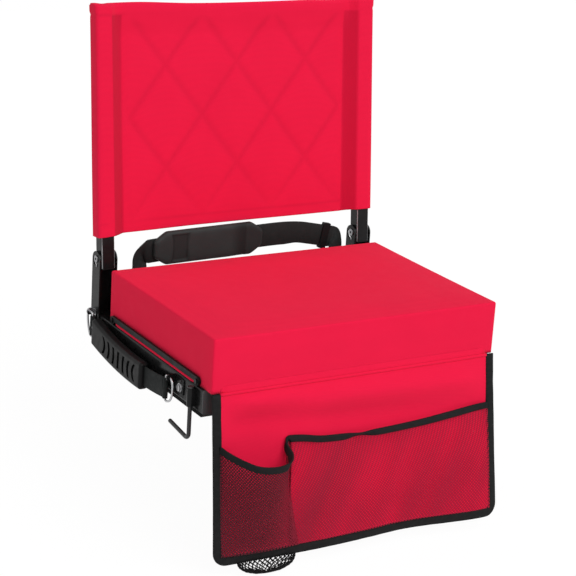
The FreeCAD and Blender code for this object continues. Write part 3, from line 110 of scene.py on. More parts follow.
class Nodes:
    """Short hand for the node tree of a new material or world."""

    def __init__(self, block):
        block.use_nodes = True
        self.block, self.tree = block, block.node_tree
        self.shader = self.tree.nodes.get("Principled BSDF")

    def add(self, kind, **values):
        node = self.tree.nodes.new(kind)
        for key, value in values.items():
            if hasattr(node, key):
                setattr(node, key, value)
            else:
                node.inputs[key.replace("_", " ")].default_value = value
        return node

    def link(self, out, socket):
        self.tree.links.new(out, socket)

    def math(self, operation, a, b=None, c=None):
        node = self.add("ShaderNodeMath", operation=operation)
        for socket, value in zip(node.inputs, (a, b, c)):
            if isinstance(value, (int, float)):
                socket.default_value = value
            elif value is not None:
                self.link(value, socket)
        return node.outputs[0]

    def object_place(self):
        return self.add("ShaderNodeTexCoord").outputs["Object"]

    def painted(self, name):
        """A value that the mesh carries at each of its points."""
        return self.add("ShaderNodeAttribute", attribute_name=name).outputs["Fac"]

    def noise(self, scale, detail=3.0, rough=0.55, stretch=None):
        node = self.add("ShaderNodeTexNoise", Scale=scale, Detail=detail, Roughness=rough)
        source = self.object_place()
        if stretch:
            mapping = self.add("ShaderNodeMapping", Scale=stretch)
            self.link(source, mapping.inputs["Vector"])
            source = mapping.outputs[0]
        self.link(source, node.inputs["Vector"])
        return node.outputs["Fac"]

    def span(self, value, low, high, from_low=0.3, from_high=0.7):
        node = self.add("ShaderNodeMapRange", From_Min=from_low, From_Max=from_high, To_Min=low,
                        To_Max=high)
        self.link(value, node.inputs["Value"])
        return node.outputs["Result"]

    def blend(self, a, b, factor):
        node = self.add("ShaderNodeMix", data_type="RGBA", blend_type="MIX")
        colours = [s for s in node.inputs if s.type == "RGBA"]
        for socket, value in zip(colours, (a, b)):
            if isinstance(value, tuple):
                socket.default_value = value + (1.0,)
            else:
                self.link(value, socket)
        self.link(factor, node.inputs[0])
        return [s for s in node.outputs if s.type == "RGBA"][0]

    def weave(self, period):
        """Threads along X, Y and Z, as a height."""
        place = self.object_place()
        total = None
        for axis in "XYZ":
            wave = self.add("ShaderNodeTexWave", wave_type="BANDS", bands_direction=axis,
                            Scale=2 * math.pi / (20 * period * MM), Distortion=0.3)
            self.link(place, wave.inputs["Vector"])
            height = wave.outputs["Fac"]
            total = height if total is None else self.math("ADD", total, height)
        return self.math("MULTIPLY", total, 1 / 3)

    def bump(self, height, depth, strength, before=None):
        node = self.add("ShaderNodeBump", Distance=depth * MM, Strength=strength)
        self.link(height, node.inputs["Height"])
        if before is not None:
            self.link(before, node.inputs["Normal"])
        return node.outputs["Normal"]

    def painted_corner_highlight(self):
        """Painted highlight mask: 1 along the rounded corners of the uprights' square tubes, 0 on
        their faces.
        """
        split = self.add("ShaderNodeSeparateXYZ")
        self.link(self.object_place(), split.inputs[0])
        x, y, z = split.outputs
        c, s = math.cos(RECLINE), math.sin(RECLINE)
        aside = self.math("SUBTRACT", self.math("ABSOLUTE", x), UPRIGHT_X * MM)
        behind = self.math("SUBTRACT", self.math("MULTIPLY", y, c), self.math("MULTIPLY", z, s))
        behind = self.math("SUBTRACT", behind, (PIVOT_Y * c - PIVOT_Z * s) * MM)
        both = self.math("MINIMUM", self.math("ABSOLUTE", aside), self.math("ABSOLUTE", behind))
        corner = self.span(both, 0.0, 1.0, TUBE_CORNER_START * MM, TUBE_CORNER_FULL * MM)
        return self.math("MULTIPLY", corner, self.span(self.noise(70.0, 4.0), 0.35, 1.0))

    def seen_rays(self):
        """1 for the rays that make the picture, 0 for those that only light the part."""
        rays = self.add("ShaderNodeLightPath").outputs
        seen = self.math("MAXIMUM", rays["Is Camera Ray"], rays["Is Glossy Ray"])
        return self.math("MAXIMUM", seen, rays["Is Transmission Ray"])

    def finish(self, colour=None, rough=None, normal=None, **fixed):
        for socket, value in (("Base Color", colour), ("Roughness", rough), ("Normal", normal)):
            if value is not None:
                self.link(value, self.shader.inputs[socket])
        for key, value in fixed.items():
            self.shader.inputs[key.replace("_", " ")].default_value = value
        return self.block


def material(name):
    return Nodes(bpy.data.materials.new(name))


def shade(colour, factor):
    return tuple(c * factor for c in colour)


def woven(name, colour, period, depth):
    """Woven fabric, darker where the mesh's shade attribute paints shade."""
    n = material(name)
    threads = n.weave(period)
    base = n.blend(shade(colour, 0.95), shade(colour, 1.05), n.noise(14.0))
    base = n.blend(base, shade(colour, 0.80), n.span(threads, 0.15, 0.0, 0.2, 0.8))
    # Painted shade: darker where the mesh's shade attribute says
    base = n.blend(base, shade(colour, 0.62), n.painted("shade"))
    rough = n.span(n.noise(60.0), 0.78, 0.92)
    slow = n.bump(n.noise(30.0, 2.0), 0.35, 0.25)
    return n.finish(base, rough, n.bump(threads, depth, 0.6, slow), Specular_IOR_Level=0.06,
                    Sheen_Weight=0.04, Sheen_Roughness=0.5)


def coated(name, colour, rough, metallic=0.0, specular=0.5, grain=900.0, depth=0.02,
           variation=0.12, wear=0.0, painted=False, coat=0.0, corners=False):
    """Paint, plastic, rubber or metal with a fine grain; wear makes edges pale, painted adds the
    mesh's painted shade, corners adds a painted highlight along the uprights' tube corners.
    """
    n = material(name)
    base = n.blend(shade(colour, 1 - variation), shade(colour, 1 + variation), n.noise(45.0, 4.0))
    if painted:
        # Darkened by the mesh's shade attribute, which holds painted shade
        base = n.blend(base, shade(colour, 0.25), n.painted("shade"))
    if wear:
        edge = n.add("ShaderNodeNewGeometry").outputs["Pointiness"]
        worn = n.math("MULTIPLY", n.span(edge, 0.0, wear, 0.52, 0.60),
                      n.span(n.noise(160.0, 5.0), 0.2, 1.0))
        base = n.blend(base, tuple(min(c * 5 + 0.03, 1.0) for c in colour), worn)
    if corners:
        # Painted highlight: pale grey along the uprights' rounded tube corners
        base = n.blend(base, (0.42, 0.42, 0.43), n.painted_corner_highlight())
    gloss = n.span(n.noise(120.0, 5.0), rough - 0.06, rough + 0.07)
    normal = n.bump(n.noise(grain, 2.0), depth, 0.5)
    return n.finish(base, gloss, normal, Metallic=metallic, Specular_IOR_Level=specular,
                    Coat_Weight=coat, Coat_Roughness=0.12)


def webbing(name, colour, period, depth, specular=0.12):
    n = material(name)
    threads = n.weave(period)
    base = n.blend(shade(colour, 0.75), shade(colour, 1.3), n.noise(90.0, 4.0))
    base = n.blend(base, shade(colour, 0.5), n.span(threads, 0.5, 0.0, 0.2, 0.8))
    normal = n.bump(threads, depth, 0.7)
    return n.finish(base, n.span(n.noise(200.0), 0.62, 0.82), normal, Specular_IOR_Level=specular)


def open_mesh(name, colour, dark, pitch):
    """Knitted mesh: holes on a diamond grid in the sheet's own millimetres, smaller where dense."""
    n = material(name)
    split = n.add("ShaderNodeSeparateXYZ")
    n.link(n.add("ShaderNodeUVMap", uv_map="flat").outputs["UV"], split.inputs[0])
    waves = []
    for way in ("ADD", "SUBTRACT"):
        slanted = n.math(way, split.outputs[0], split.outputs[1])
        waves.append(n.math("SINE", n.math("MULTIPLY", slanted, math.pi / pitch)))
    hole = n.math("ABSOLUTE", n.math("MULTIPLY", *waves))
    edge = n.math("MULTIPLY_ADD", n.painted("dense"), 0.70, 0.04)
    alpha = n.span(n.math("SUBTRACT", edge, hole), 0.0, 1.0, -0.06, 0.06)
    base = n.blend(shade(colour, 0.9), shade(colour, 1.1), n.noise(40.0))
    # Painted shade: turned towards the dark colour where the mesh's dark attribute says
    base = n.blend(base, dark, n.painted("dark"))
    n.link(alpha, n.shader.inputs["Alpha"])
    return n.finish(base, n.span(n.noise(200.0), 0.7, 0.85), n.bump(hole, 0.2, 0.4),
                    Specular_IOR_Level=0.1)


def wood(name, dark, pale):
    n = material(name)
    grain = n.noise(40.0, 6.0, 0.6, stretch=(1.0, 14.0, 14.0))
    base = n.blend(dark, pale, n.span(grain, 0.0, 1.0, 0.35, 0.65))
    return n.finish(base, n.span(n.noise(80.0), 0.55, 0.75), n.bump(grain, 0.15, 0.4),
                    Specular_IOR_Level=0.3)


PAINTED_STEEL = dict(colour=(0.0045, 0.0045, 0.0047), rough=0.30, specular=0.05, grain=700.0,
                     depth=0.012, wear=0.10, coat=0.22)
PLATED = dict(metallic=1.0, grain=400.0, depth=0.01)
MOULDED = dict(grain=1800.0, depth=0.03)
red_fabric = woven("red_fabric", (0.83, 0.0105, 0.056), 1.0, 0.04)
# The red mesh's second colour is the painted shade of the bottle pocket and of patches
red_mesh = open_mesh("red_mesh", (0.46, 0.0125, 0.044), (0.055, 0.013, 0.019), 4.6)
black_tape = webbing("black_tape", (0.012, 0.012, 0.0122), 1.3, 0.10)
black_web = webbing("black_web", (0.0180, 0.0198, 0.0196), 1.8, 0.16, 0.14)
net_cord = webbing("net_cord", (0.010, 0.010, 0.0105), 0.7, 0.05)
# The pad's foam takes painted shade from its mesh's shade attribute
pad_foam = coated("pad_foam", (0.0255, 0.0300, 0.0295), 0.62, specular=0.22, grain=1500.0,
                  depth=0.05, painted=True)
black_steel = coated("black_steel", **PAINTED_STEEL)
# The uprights' steel carries a painted highlight along its tube corners
upright_steel_with_painted_highlight = coated("upright_steel_with_painted_highlight", corners=True, **PAINTED_STEEL)
rivet_steel = coated("rivet_steel", (0.27, 0.27, 0.28), 0.36, variation=0.15, **PLATED)
dark_wire = coated("dark_wire", (0.030, 0.030, 0.031), 0.40, metallic=0.5, grain=500.0,
                   depth=0.015, wear=0.2)
bright_steel = coated("bright_steel", (0.46, 0.46, 0.47), 0.28, variation=0.08, **PLATED)
black_plastic = coated("black_plastic", (0.0060, 0.0060, 0.0062), 0.45, specular=0.13, **MOULDED)
black_rubber = coated("black_rubber", (0.008, 0.008, 0.008), 0.8, specular=0.12, grain=600.0,
                      depth=0.05)
cap_plastic = coated("cap_plastic", (0.065, 0.065, 0.067), 0.5, specular=0.3, **MOULDED)
plywood = wood("plywood", (0.42, 0.27, 0.14), (0.66, 0.49, 0.30))
foam = coated("foam", (0.78, 0.73, 0.55), 0.9, specular=0.1, grain=500.0, depth=0.3,
              variation=0.05)

slot_finishes = {
    "red_fabric": red_fabric, "red_mesh": red_mesh, "black_net": net_cord,
    "black_webbing": black_tape, "black_steel": black_steel, "dark_wire": dark_wire,
    "bright_steel": bright_steel, "black_plastic": black_plastic, "black_rubber": black_rubber,
    "plywood": plywood, "foam": foam,
}
node_finishes = {
    "rail_end_caps": cap_plastic, "left_upright": upright_steel_with_painted_highlight, "right_upright": upright_steel_with_painted_highlight,
    "pivot_rivets": rivet_steel, "stop_pins": rivet_steel, "handle_rear_lug": bright_steel,
}
for part in frame["record"]["subparts"]:
    for place in nodes[part["node"]].material_slots:
        place.material = node_finishes.get(part["node"], slot_finishes[part["material_slot"]])


# Mesh helpers


# Bodies whose pieces are drawn along axes of their own, not the CAD frame's
BODY_AXES = {"back": back_point, "flap": flap_point, "handle": handle_point}


def piece(name, points, faces, finish, body, slot, replaces=()):
    """A new mesh object, points in millimetres along its body's axes."""
    if body in BODY_AXES:
        points = [BODY_AXES[body](*p) for p in points]
    mesh = bpy.data.meshes.new(name)
    mesh.from_pydata([tuple(c * MM for c in p) for p in points], [], faces)
    mesh.update()
    for polygon in mesh.polygons:
        polygon.use_smooth = True
    mesh.materials.append(finish)
    made = bpy.data.objects.new(name, mesh)
    scene.collection.objects.link(made)
    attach(made, body)
    if replaces:
        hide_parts(*replaces)
    return made


def attribute(made, name, values):
    layer = made.data.attributes.new(name, "FLOAT", "POINT")
    layer.data.foreach_set("value", values)


def thicken(made, thick, offset=0.0):
    cloth = made.modifiers.new("cloth", "SOLIDIFY")
    cloth.thickness, cloth.offset = thick * MM, offset


def grid(rows, columns, wrap=False, start=0):
    """Faces of a grid of points listed row by row."""
    faces = []
    for r in range(rows - 1):
        here = start + r * columns
        for c in range(columns if wrap else columns - 1):
            d = (c + 1) % columns
            faces.append((here + c, here + d, here + columns + d, here + columns + c))
    return faces


def flipped(faces):
    return [tuple(reversed(f)) for f in faces]


def border(columns, rows):
    """Once round the edge of a grid, as (column, row)."""
    there = [(c, 0) for c in range(columns)] + [(columns, r) for r in range(rows)]
    return there + [(columns - c, rows - r) for c, r in there]


def swept(rings, closed=False):
    """Points and faces of a tube through rings of equal count, capped or back to its start."""
    count, last = len(rings[0]), (len(rings) - 1) * len(rings[0])
    faces = grid(len(rings), count, wrap=True)
    if closed:
        faces += [(last + c, last + (c + 1) % count, (c + 1) % count, c) for c in range(count)]
    else:
        faces += [tuple(reversed(range(count))), tuple(range(last, last + count))]
    return [p for ring in rings for p in ring], faces


def mirrored(half):
    """A closed section from the half of it that has negative heights."""
    return half + tuple((a, -b) for a, b in reversed(half))


def tape_ring(at, side, face, width, thick):
    """Eight points of a flat tape's section with soft edges."""
    section = mirrored(((-1, -0.5), (-0.94, -1), (0.94, -1), (1, -0.5)))
    return [tuple(at[k] + side[k] * a * width / 2 + face[k] * b * thick / 2 for k in range(3))
            for a, b in section]


def joined(groups):
    points, faces = [], []
    for more, their in groups:
        faces += [tuple(i + len(points) for i in f) for f in their]
        points += more
    return points, faces


EASE = (0.0, 0.06, 0.2, 0.42, 0.68, 1.0)


def spaced(low, high, ease, steps):
    """Places from low to high, close together within ease of both ends."""
    start = [low + ease * c for c in EASE]
    end = [high - ease * c for c in reversed(EASE)]
    inner = [mix(start[-1], end[0], k / steps) for k in range(1, steps)]
    return start + inner + end


# Cushion


def cushion():
    """Box cushion over the seat board: crisp rounded edges, a crown blown up by cloth pressure."""
    radius, bottom, frames = 3.0, RAIL_TOP + 0.06, 20
    crown, most = 3.0, 3.2
    half_x, half_y, top = HALF_WIDTH - 0.5, HALF_DEPTH - 0.12, CUSHION_TOP - 0.2
    lip_x, lip_y = 1.1, 1.0
    xs = spaced(-half_x, half_x, radius, 36)
    ys = spaced(-half_y, half_y, radius, 26)
    zs = [bottom, bottom + 5, bottom + 10, bottom + 15]
    zs += [mix(bottom + 15, top - radius, k / 5) for k in range(1, 5)]
    zs += [top - radius * c for c in reversed(EASE)]
    index, points, held = {}, [], []

    def rounded(p):
        q = (min(max(p[0], radius - half_x), half_x - radius),
             min(max(p[1], radius - half_y), half_y - radius), min(p[2], top - radius))
        d = [a - b for a, b in zip(p, q)]
        length = math.sqrt(sum(c * c for c in d))
        if length < 1e-9:
            return p
        return tuple(b + c * radius / length for b, c in zip(q, d))

    def vertex(i, j, k):
        """Held fast at the foot, nearly so along the edges, free on the faces."""
        if (i, j, k) not in index:
            index[i, j, k] = len(points)
            x, y, z = rounded((xs[i], ys[j], zs[k]))
            points.append((x * (1 - DRAW_IN / half_x * (1 - (y / half_y) ** 2)), y, z))
            near = sum((abs(xs[i]) > half_x - radius - 0.1, abs(ys[j]) > half_y - radius - 0.1,
                        zs[k] > top - radius - 0.1))
            held.append(1.0 if zs[k] < bottom + 14 else (0.985 if near >= 2 else 0.0))
        return index[i, j, k]

    def face(*corners):
        faces.append(tuple(vertex(*c) for c in corners))

    def blown(made, start):
        """Each point's move once the pressure has settled."""
        group = made.vertex_groups.new(name="held")
        for k, weight in enumerate(held):
            group.add([k], weight, "REPLACE")
        cloth = made.modifiers.new("blow", "CLOTH")
        settings = dict(quality=6, mass=0.3, tension_stiffness=30, compression_stiffness=30,
                        shear_stiffness=15, bending_stiffness=6, use_pressure=True,
                        uniform_pressure_force=4, vertex_group_mass="held")
        for key, value in settings.items():
            setattr(cloth.settings, key, value)
        cloth.settings.effector_weights.gravity = 0
        cloth.point_cache.frame_start, cloth.point_cache.frame_end = 1, frames
        for step in range(1, frames + 1):
            scene.frame_set(step)
        shaped = made.evaluated_get(bpy.context.evaluated_depsgraph_get()).to_mesh()
        moves = [v.co - s for v, s in zip(shaped.vertices, start)]
        made.modifiers.remove(cloth)
        scene.frame_set(1)
        return [m * min(most * MM / max(m.length, 1e-12), 1.0) for m in moves]

    nx, ny, nz = len(xs) - 1, len(ys) - 1, len(zs) - 1
    faces = []
    for i in range(nx):
        for j in range(ny):
            face((i, j, nz), (i + 1, j, nz), (i + 1, j + 1, nz), (i, j + 1, nz))
    for k in range(nz):
        for i in range(nx):
            face((i, 0, k), (i + 1, 0, k), (i + 1, 0, k + 1), (i, 0, k + 1))
            face((i + 1, ny, k), (i, ny, k), (i, ny, k + 1), (i + 1, ny, k + 1))
        for j in range(ny):
            face((0, j + 1, k), (0, j, k), (0, j, k + 1), (0, j + 1, k + 1))
            face((nx, j, k), (nx, j + 1, k), (nx, j + 1, k + 1), (nx, j, k + 1))
    outer = [vertex(i, j, 0) for i, j in border(nx, ny)]
    lip, roof = [], []
    for corner in outer:
        x, y, _ = points[corner]
        x, y = x * (1 - lip_x / half_x), y * (1 - lip_y / half_y)
        lip.append(len(points))
        roof.append(len(points) + 1)
        points.extend(((x, y, bottom), (x, y, BOARD_TOP + 0.4)))
        held.extend((1.0, 1.0))
    for a in range(len(outer)):
        b = (a + 1) % len(outer)
        faces.append((outer[b], outer[a], lip[a], lip[b]))
        faces.append((lip[b], lip[a], roof[a], roof[b]))
    faces.append(tuple(reversed(roof)))
    made = piece("seat_cushion", points, faces, red_fabric, "seat_base", "red_fabric",
                 ("cushion_cover", "seat_foam"))
    start = [v.co.copy() for v in made.data.vertices]
    moves = blown(made, start)
    for point, s, move, weight in zip(made.data.vertices, start, moves, held):
        point.co = s if weight >= 1 else s + move
    attribute(made, "shade", [0.0] * len(start))
    made.data.update()


def flap_seam():
    """Sewn strip along the cushion's front foot, over the crease where the flap hangs on."""
    rear = -150.8
    section = ((rear, 49.0), (-151.1, 44.6), (-151.75, 41.4), (-152.5, 39.7), (-153.25, 38.5),
               (-152.35, 38.6), (-151.5, 38.55), (rear, 38.5))
    half, steps = HALF_WIDTH - BINDING - 0.5, 108
    rings = []
    for k in range(steps + 1):
        x = mix(-half, half, k / steps)
        full = max(smooth(0, 12, half - abs(x)), 0.2)
        rings.append([(x, rear + (y - rear) * full,
                       z + 0.25 * noise.noise(Vector((x * 0.03, z, 8.0)))) for y, z in section])
    points, faces = swept(rings)
    made = piece("flap_seam", points, faces, red_fabric, "seat_base", "red_fabric")
    # Painted shade darkens the strip's lower front edge, at the crease above the flap
    attribute(made, "shade", [0.0, 0.0, 0.05, 0.2, 0.4, 0.4, 0.0, 0.0] * len(rings))


def cover_welt(name, side):
    """The cover's rolled lower edge, which shows as a red line under the edge bar."""
    front, rear, outside, height, steps = -108.5, 126.5, 219.3, 40.6, 60
    section = mirrored(((0, -2.2), (0.55, -2.2), (0.85, -1.7), (1, -0.6)))
    rings = []
    for k in range(steps + 1):
        y = mix(front, rear, k / steps)
        inner = HALF_WIDTH - 0.45 - DRAW_IN * (1 - (y / HALF_DEPTH) ** 2)
        out = mix(0.6, 1.0, smooth(0, 8, min(y - front, rear - y))) * (outside - inner)
        ring = [(side * (inner + a * out), y, height + z) for a, z in section]
        rings.append(ring if side > 0 else ring[::-1])
    points, faces = swept(rings)
    made = piece(name, points, faces, red_fabric, "seat_base", "red_fabric")
    attribute(made, "shade", [0.0] * len(points))


cushion()
flap_seam()
cover_welt("left_cover_welt", -1)
cover_welt("right_cover_welt", 1)


# Back cover


def back_cover():
    """Sewn sleeve: pole pockets slant into a recessed quilted panel, a hem holds the cross bar."""
    low, high = BACK_LOW, BACK_HIGH
    out, knee, seam, edge = 219.6, 194.6, 173.6, 11.6
    front_v, rear_v, middle_v = 1.4, 5.4, 2.0
    hem_front, hem_rear = -3.1, 9.8
    diamond, slope, quilt_middle = 143.0, 143.0 / 112.0, 190.5
    steps_x, steps_u = 108, 84
    xs = [c - out for c in (3.0, 7.0, 12.0, 17.0, 20.0, 21.4, 22.6, 25.0, 27.0, 31.0, 36.0, 38.6,
                            39.4, 41.6, 43.6, 44.6)]
    panel = [mix(-seam, seam, k / steps_x) for k in range(steps_x + 1)]
    xs = xs + panel + [-x for x in reversed(xs)]
    us = [low, low + 1.5, low + 4]
    us += [mix(low + 8, high - 20, k / steps_u) for k in range(steps_u + 1)]
    us += [high - c for c in (18.5, 17, 16, 15, 13.5, 11, 8, 5, 3)]
    caps = ((2.2, 0.2475), (0.9, 0.385), (0.0, 0.55))
    corner = ((0.9, -edge + 0.9), (0.2, -edge + 2.6), (0.0, -5.0), (0.0, 0.0), (0.0, 5.0),
              (0.2, edge - 2.6), (0.9, edge - 0.9))

    def knee_at(x):
        """Where a pole pocket's face ends: the left one is narrower than the right one."""
        return knee if x > 0 else knee + 3.6

    def seam_at(x):
        return 176.0 if x > 0 else 180.6

    def quilt(x, u):
        """How far a place is from the nearest sewn line of the diamonds."""
        best = 99.0
        for sign in (1, -1):
            level = (u - quilt_middle - sign * slope * x) / diamond - 0.5
            best = min(best, abs(level - round(level)) * diamond / math.hypot(1, slope))
        return best

    def hem(u):
        return smooth(high - 46, high - 8, u)

    def pole(a, bend):
        """The slight swell of a pole pocket's face."""
        return edge + 0.35 * math.sin(math.pi * (a - bend) / (out - bend))

    def front(x, u):
        a, bend, foot = abs(x), knee_at(x), seam_at(x)
        if a >= bend:
            return -pole(a, bend)
        if a >= foot:
            t = (a - foot) / (bend - foot)
            v = mix(front_v, -edge, t) + 0.9 * math.sin(math.pi * t) * (1 - t)
        else:
            rise = smooth(low + 2, low + 30, u) * smooth(high - 12, high - 34, u)
            rise *= smooth(foot, foot - 12, a)
            d = quilt(x, u)
            v = front_v + rise * (0.55 * hump(d, 0, 3.8) - 0.7 * smooth(0, 26, d))
            v += 0.8 * noise.noise(Vector((x * 0.012, u * 0.009, 3.1)))
        return mix(v, min(v, hem_front), hem(u))

    def rear(x, u):
        a = abs(x)
        if a >= knee:
            return pole(a, knee)
        if a >= seam:
            v = mix(rear_v, edge, (a - seam) / (knee - seam))
        else:
            v = rear_v + 0.5 * noise.noise(Vector((x * 0.012, u * 0.009, 9.7)))
        return mix(v, max(v, hem_rear), hem(u))

    def ear(u):
        """How far the sleeve's sides bulge at the hem's ends and draw in below it."""
        return smooth(high - 15, high - 10, u) - 0.6 * hump(u, high - 15.5, 2.0)

    def droop(x):
        """How much lower the foot hangs than the right pole pocket's."""
        panel = 1.9 * smooth(190, 172, x) + 1.4 * smooth(-60, -176, x)
        return panel + smooth(-176, -190, x) + smooth(-200, -216, x)

    def lift(x):
        """How the top edge rises to its left corner and falls a little before its right one."""
        left = 2.0 * smooth(-203, -216, x) + 2.7 * hump(x, -150, 58) * smooth(-212, -196, x)
        right = 1.6 * smooth(110, 160, x) * smooth(192, 170, x) - 0.3 * smooth(192, 204, x)
        return left - right

    def level(x, u):
        """Where the cloth at height u ends up, with its sagging hem and its uneven edges."""
        sag = 2.4 * smooth(low + 200, high, u) * max(0.0, 1 - (x / knee) ** 2)
        hang = smooth(low + 90, low, u) * droop(x)
        return u - (sag + hang - smooth(high - 70, high, u) * lift(x))

    def ring(u, shrink=0.0):
        """Once round the sleeve: front, right side, rear, left side."""
        wide = smooth(high, low, u)
        to_right = out + ear(u) + 0.4 + 1.4 * wide
        to_left = out + ear(u) + 1.4 + 1.6 * wide
        row = [(x * (1 - 0.004 * shrink), front(x, u), level(x, u)) for x in xs]
        row += [(to_right - c - 0.9 * shrink, v, level(out, u)) for c, v in corner]
        row += [(x * (1 - 0.004 * shrink), rear(x, u), level(x, u)) for x in reversed(xs)]
        row += [(c + 0.9 * shrink - to_left, v, level(-out, u)) for c, v in reversed(corner)]
        return [(x, mix(v, middle_v, shrink), z) for x, v, z in row]

    rows = [ring(u) for u in us] + [ring(high - d, shrink) for d, shrink in caps]
    count = len(rows[0])
    local = [p for row in rows for p in row]
    faces = grid(len(rows), count, wrap=True)
    n, sides = len(xs), len(corner)
    top = (len(rows) - 1) * count

    def across(start, first, last):
        """Faces between the front and the rear of one ring."""
        for k in range(first, last):
            behind = start + n + sides + (n - 1 - k)
            yield (start + k, start + k + 1, behind - 1, behind)

    faces += list(across(top, 0, n - 1))
    faces.append(tuple(top + k for k in range(n - 1, n + sides + 1)))
    faces.append(tuple(top + k for k in list(range(n + sides + n - 1, count)) + [0]))
    first = xs.index(-seam)
    faces += flipped(across(0, first, n - 1 - first))
    made = piece("back_sleeve", local, faces, red_fabric, "back", "red_fabric", ("back_cover",))

    def seam_shade(x, u):
        """Painted shade on the slants beside the pole pockets, stronger on the left, and along the
        quilting grooves; darker lines under the top hem and along the foot.
        """
        a, bend, foot = abs(x), knee_at(x), seam_at(x)
        # Painted shade on the slants, stronger on the left than on the right
        dark, hem_depth = (0.54, 16.0) if x > 0 else (0.74, 12.0)
        value = dark * smooth(bend + 0.8, bend - 0.8, a) * smooth(foot - 2.5, foot + 1.0, a)
        value *= smooth(high - hem_depth, high - hem_depth - 3.5, u)
        if a < seam:
            fade = smooth(low + 2, low + 90, u) * smooth(high - 14, high - 30, u)
            # Painted shade along the quilting grooves
            value = max(value, 0.22 * hump(quilt(x, u), 0, 4.5) * fade * smooth(seam, seam - 8, a))
        # A darker line under the top hem, stronger at the left, and one along the foot
        hem_line = 0.18 * smooth(-165, -185, x) + 0.04
        value = max(value, hem_line * hump(u, high - hem_depth - 1.5, 2.2))
        return max(value, 0.22 * hump(u, low + 13, 1.0))

    # Painted shade on the sleeve's front, none on its sides and rear
    dark = []
    for row in rows:
        dark += [seam_shade(x, u) for x, v, u in row[:n]] + [0.0] * (count - n)
    attribute(made, "shade", dark)
    thicken(made, 1.0, -1.0)


back_cover()


# Pocket flap


# Height, middle and width of the swells across the flap's foot
FLAP_SWELLS = ((10.5, 192, 52), (-7.0, 58, 48), (-6.5, -225, 75))


def flap_wave(x, u):
    """How far the hanging sheet stands in front of its plane."""
    down = min(max((u - 40) / (FLAP_LENGTH - 40), 0.0), 1.05)
    wave = sum(high * hump(x, *place) for high, *place in FLAP_SWELLS) - 1.5
    fold = 3.6 * hump(x + 0.5 * (u - 40), -70, 45) * smooth(0, 40, u) * smooth(170, 90, u)
    fold += 4.7 * hump(u - 0.05 * x, 22, 15) * smooth(216, 150, abs(x))
    fold -= 4.3 * hump(u - 0.08 * x, 54, 15)
    fold += 1.8 * noise.noise(Vector((x * 0.014, u * 0.016, 5.0))) * smooth(6, 40, u)
    return down * wave + fold * smooth(216, 180, abs(x)) * smooth(1, 13, u)


def flap_sheet():
    half, foot, corner = HALF_WIDTH - 5.0, FLAP_LENGTH - 5.0, 13.0
    above, roll_radius, roll_inset = 0.6, 1.85, 7
    columns, rows = 84, 50
    local = []
    for r in range(rows + 1):
        u = -above + (foot + above) * r / rows
        inset = 0.0
        if u > foot - corner:
            inset = corner - math.sqrt(max(corner ** 2 - (u - foot + corner) ** 2, 0.0))
        for c in range(columns + 1):
            x = (half - inset) * (2 * c / columns - 1)
            local.append((x, flap_wave(x, u), u))
    turns = [a * math.pi / 6 for a in range(12)]
    roll = []
    for k in range(columns + 1):
        x = (half - roll_inset) * (2 * k / columns - 1)
        roll.append([(x, roll_radius * math.sin(a), roll_radius * math.cos(a)) for a in turns])
    points, faces = joined([(local, flipped(grid(rows + 1, columns + 1))), swept(roll)])
    made = piece("flap_sheet", points, faces, red_fabric, "flap", "red_fabric", ("pocket_flap",))
    # Painted shade: darker above the pockets' mouths, less so towards the right
    attribute(made, "shade", [0.2 * smooth(24, 46, u) * smooth(78, 58, u)
                              * mix(1.0, 0.5, smooth(20, 150, x)) for x, v, u in points])
    thicken(made, 1.0)
    return made


def edge_binding():
    """Black tape folded over the flap's sides and foot."""
    half, foot, corner = HALF_WIDTH - BINDING / 2, FLAP_LENGTH - BINDING / 2, 12.0
    above, steps, turn_steps, foot_steps = 0.9, 26, 8, 60
    section = mirrored(((-1, -0.6), (-0.96, -1.35), (-0.5, -1.6), (0.4, -1.55), (0.97, -1.45),
                        (1, -1.0)))
    left = [(-half, mix(-above, foot - corner, k / steps), (1, 0)) for k in range(steps + 1)]
    for k in range(1, turn_steps):
        c, s = math.cos(math.pi / 2 * k / turn_steps), math.sin(math.pi / 2 * k / turn_steps)
        left.append((-half + corner * (1 - c), foot - corner + corner * s, (c, -s)))
    path = left + [(mix(corner - half, half - corner, k / foot_steps), foot, (0, -1))
                   for k in range(foot_steps + 1)]
    path += [(-x, u, (-nx, nu)) for x, u, (nx, nu) in reversed(left)]
    rings = []
    for x, u, (nx, nu) in path:
        wide = BINDING / 2 + 0.35 * noise.noise(Vector((x * 0.05, u * 0.05, 1.0)))
        ring = []
        for a, v in section:
            px, pu = x + nx * wide * a, u + nu * wide * a
            ring.append((px, flap_wave(px, pu) + v, pu))
        rings.append(ring)
    return piece("flap_edge_tape", *swept(rings), black_tape, "flap", "black_webbing",
                 ("flap_binding",))


MOUTH, FOOT, PLEAT, SEAM_LEFT, SEAM_RIGHT, SEWN = 65.0, 212.6, -109.0, -206.0, 204.6, 2.6
MOUTH_FOLD = -4
CUP_STEPS, FLAT_STEPS = 56, 90
CUP_RIM = (
    (SEAM_LEFT, SEWN, 66.0), (-199.0, 15.0, 73.0), (-187.0, 31.0, 81.0), (-175.0, 43.0, 86.5),
    (-161.0, 47.0, 89.0), (-146.0, 46.0, 90.0), (-132.0, 40.5, 89.5), (-121.0, 32.0, 88.0),
    (-114.5, 21.0, 82.5), (-115.5, 9.0, 74.0), (-113.0, 3.2, 67.5), (PLEAT, SEWN, MOUTH),
)


def pocket_places():
    """Places along the pockets: 0 to 1 round the bottle pocket, 1 to 2 along the flat one."""
    cup = [k / CUP_STEPS for k in range(CUP_STEPS + 1)]
    return cup + [1 + k / FLAT_STEPS for k in range(1, FLAT_STEPS + 1)]


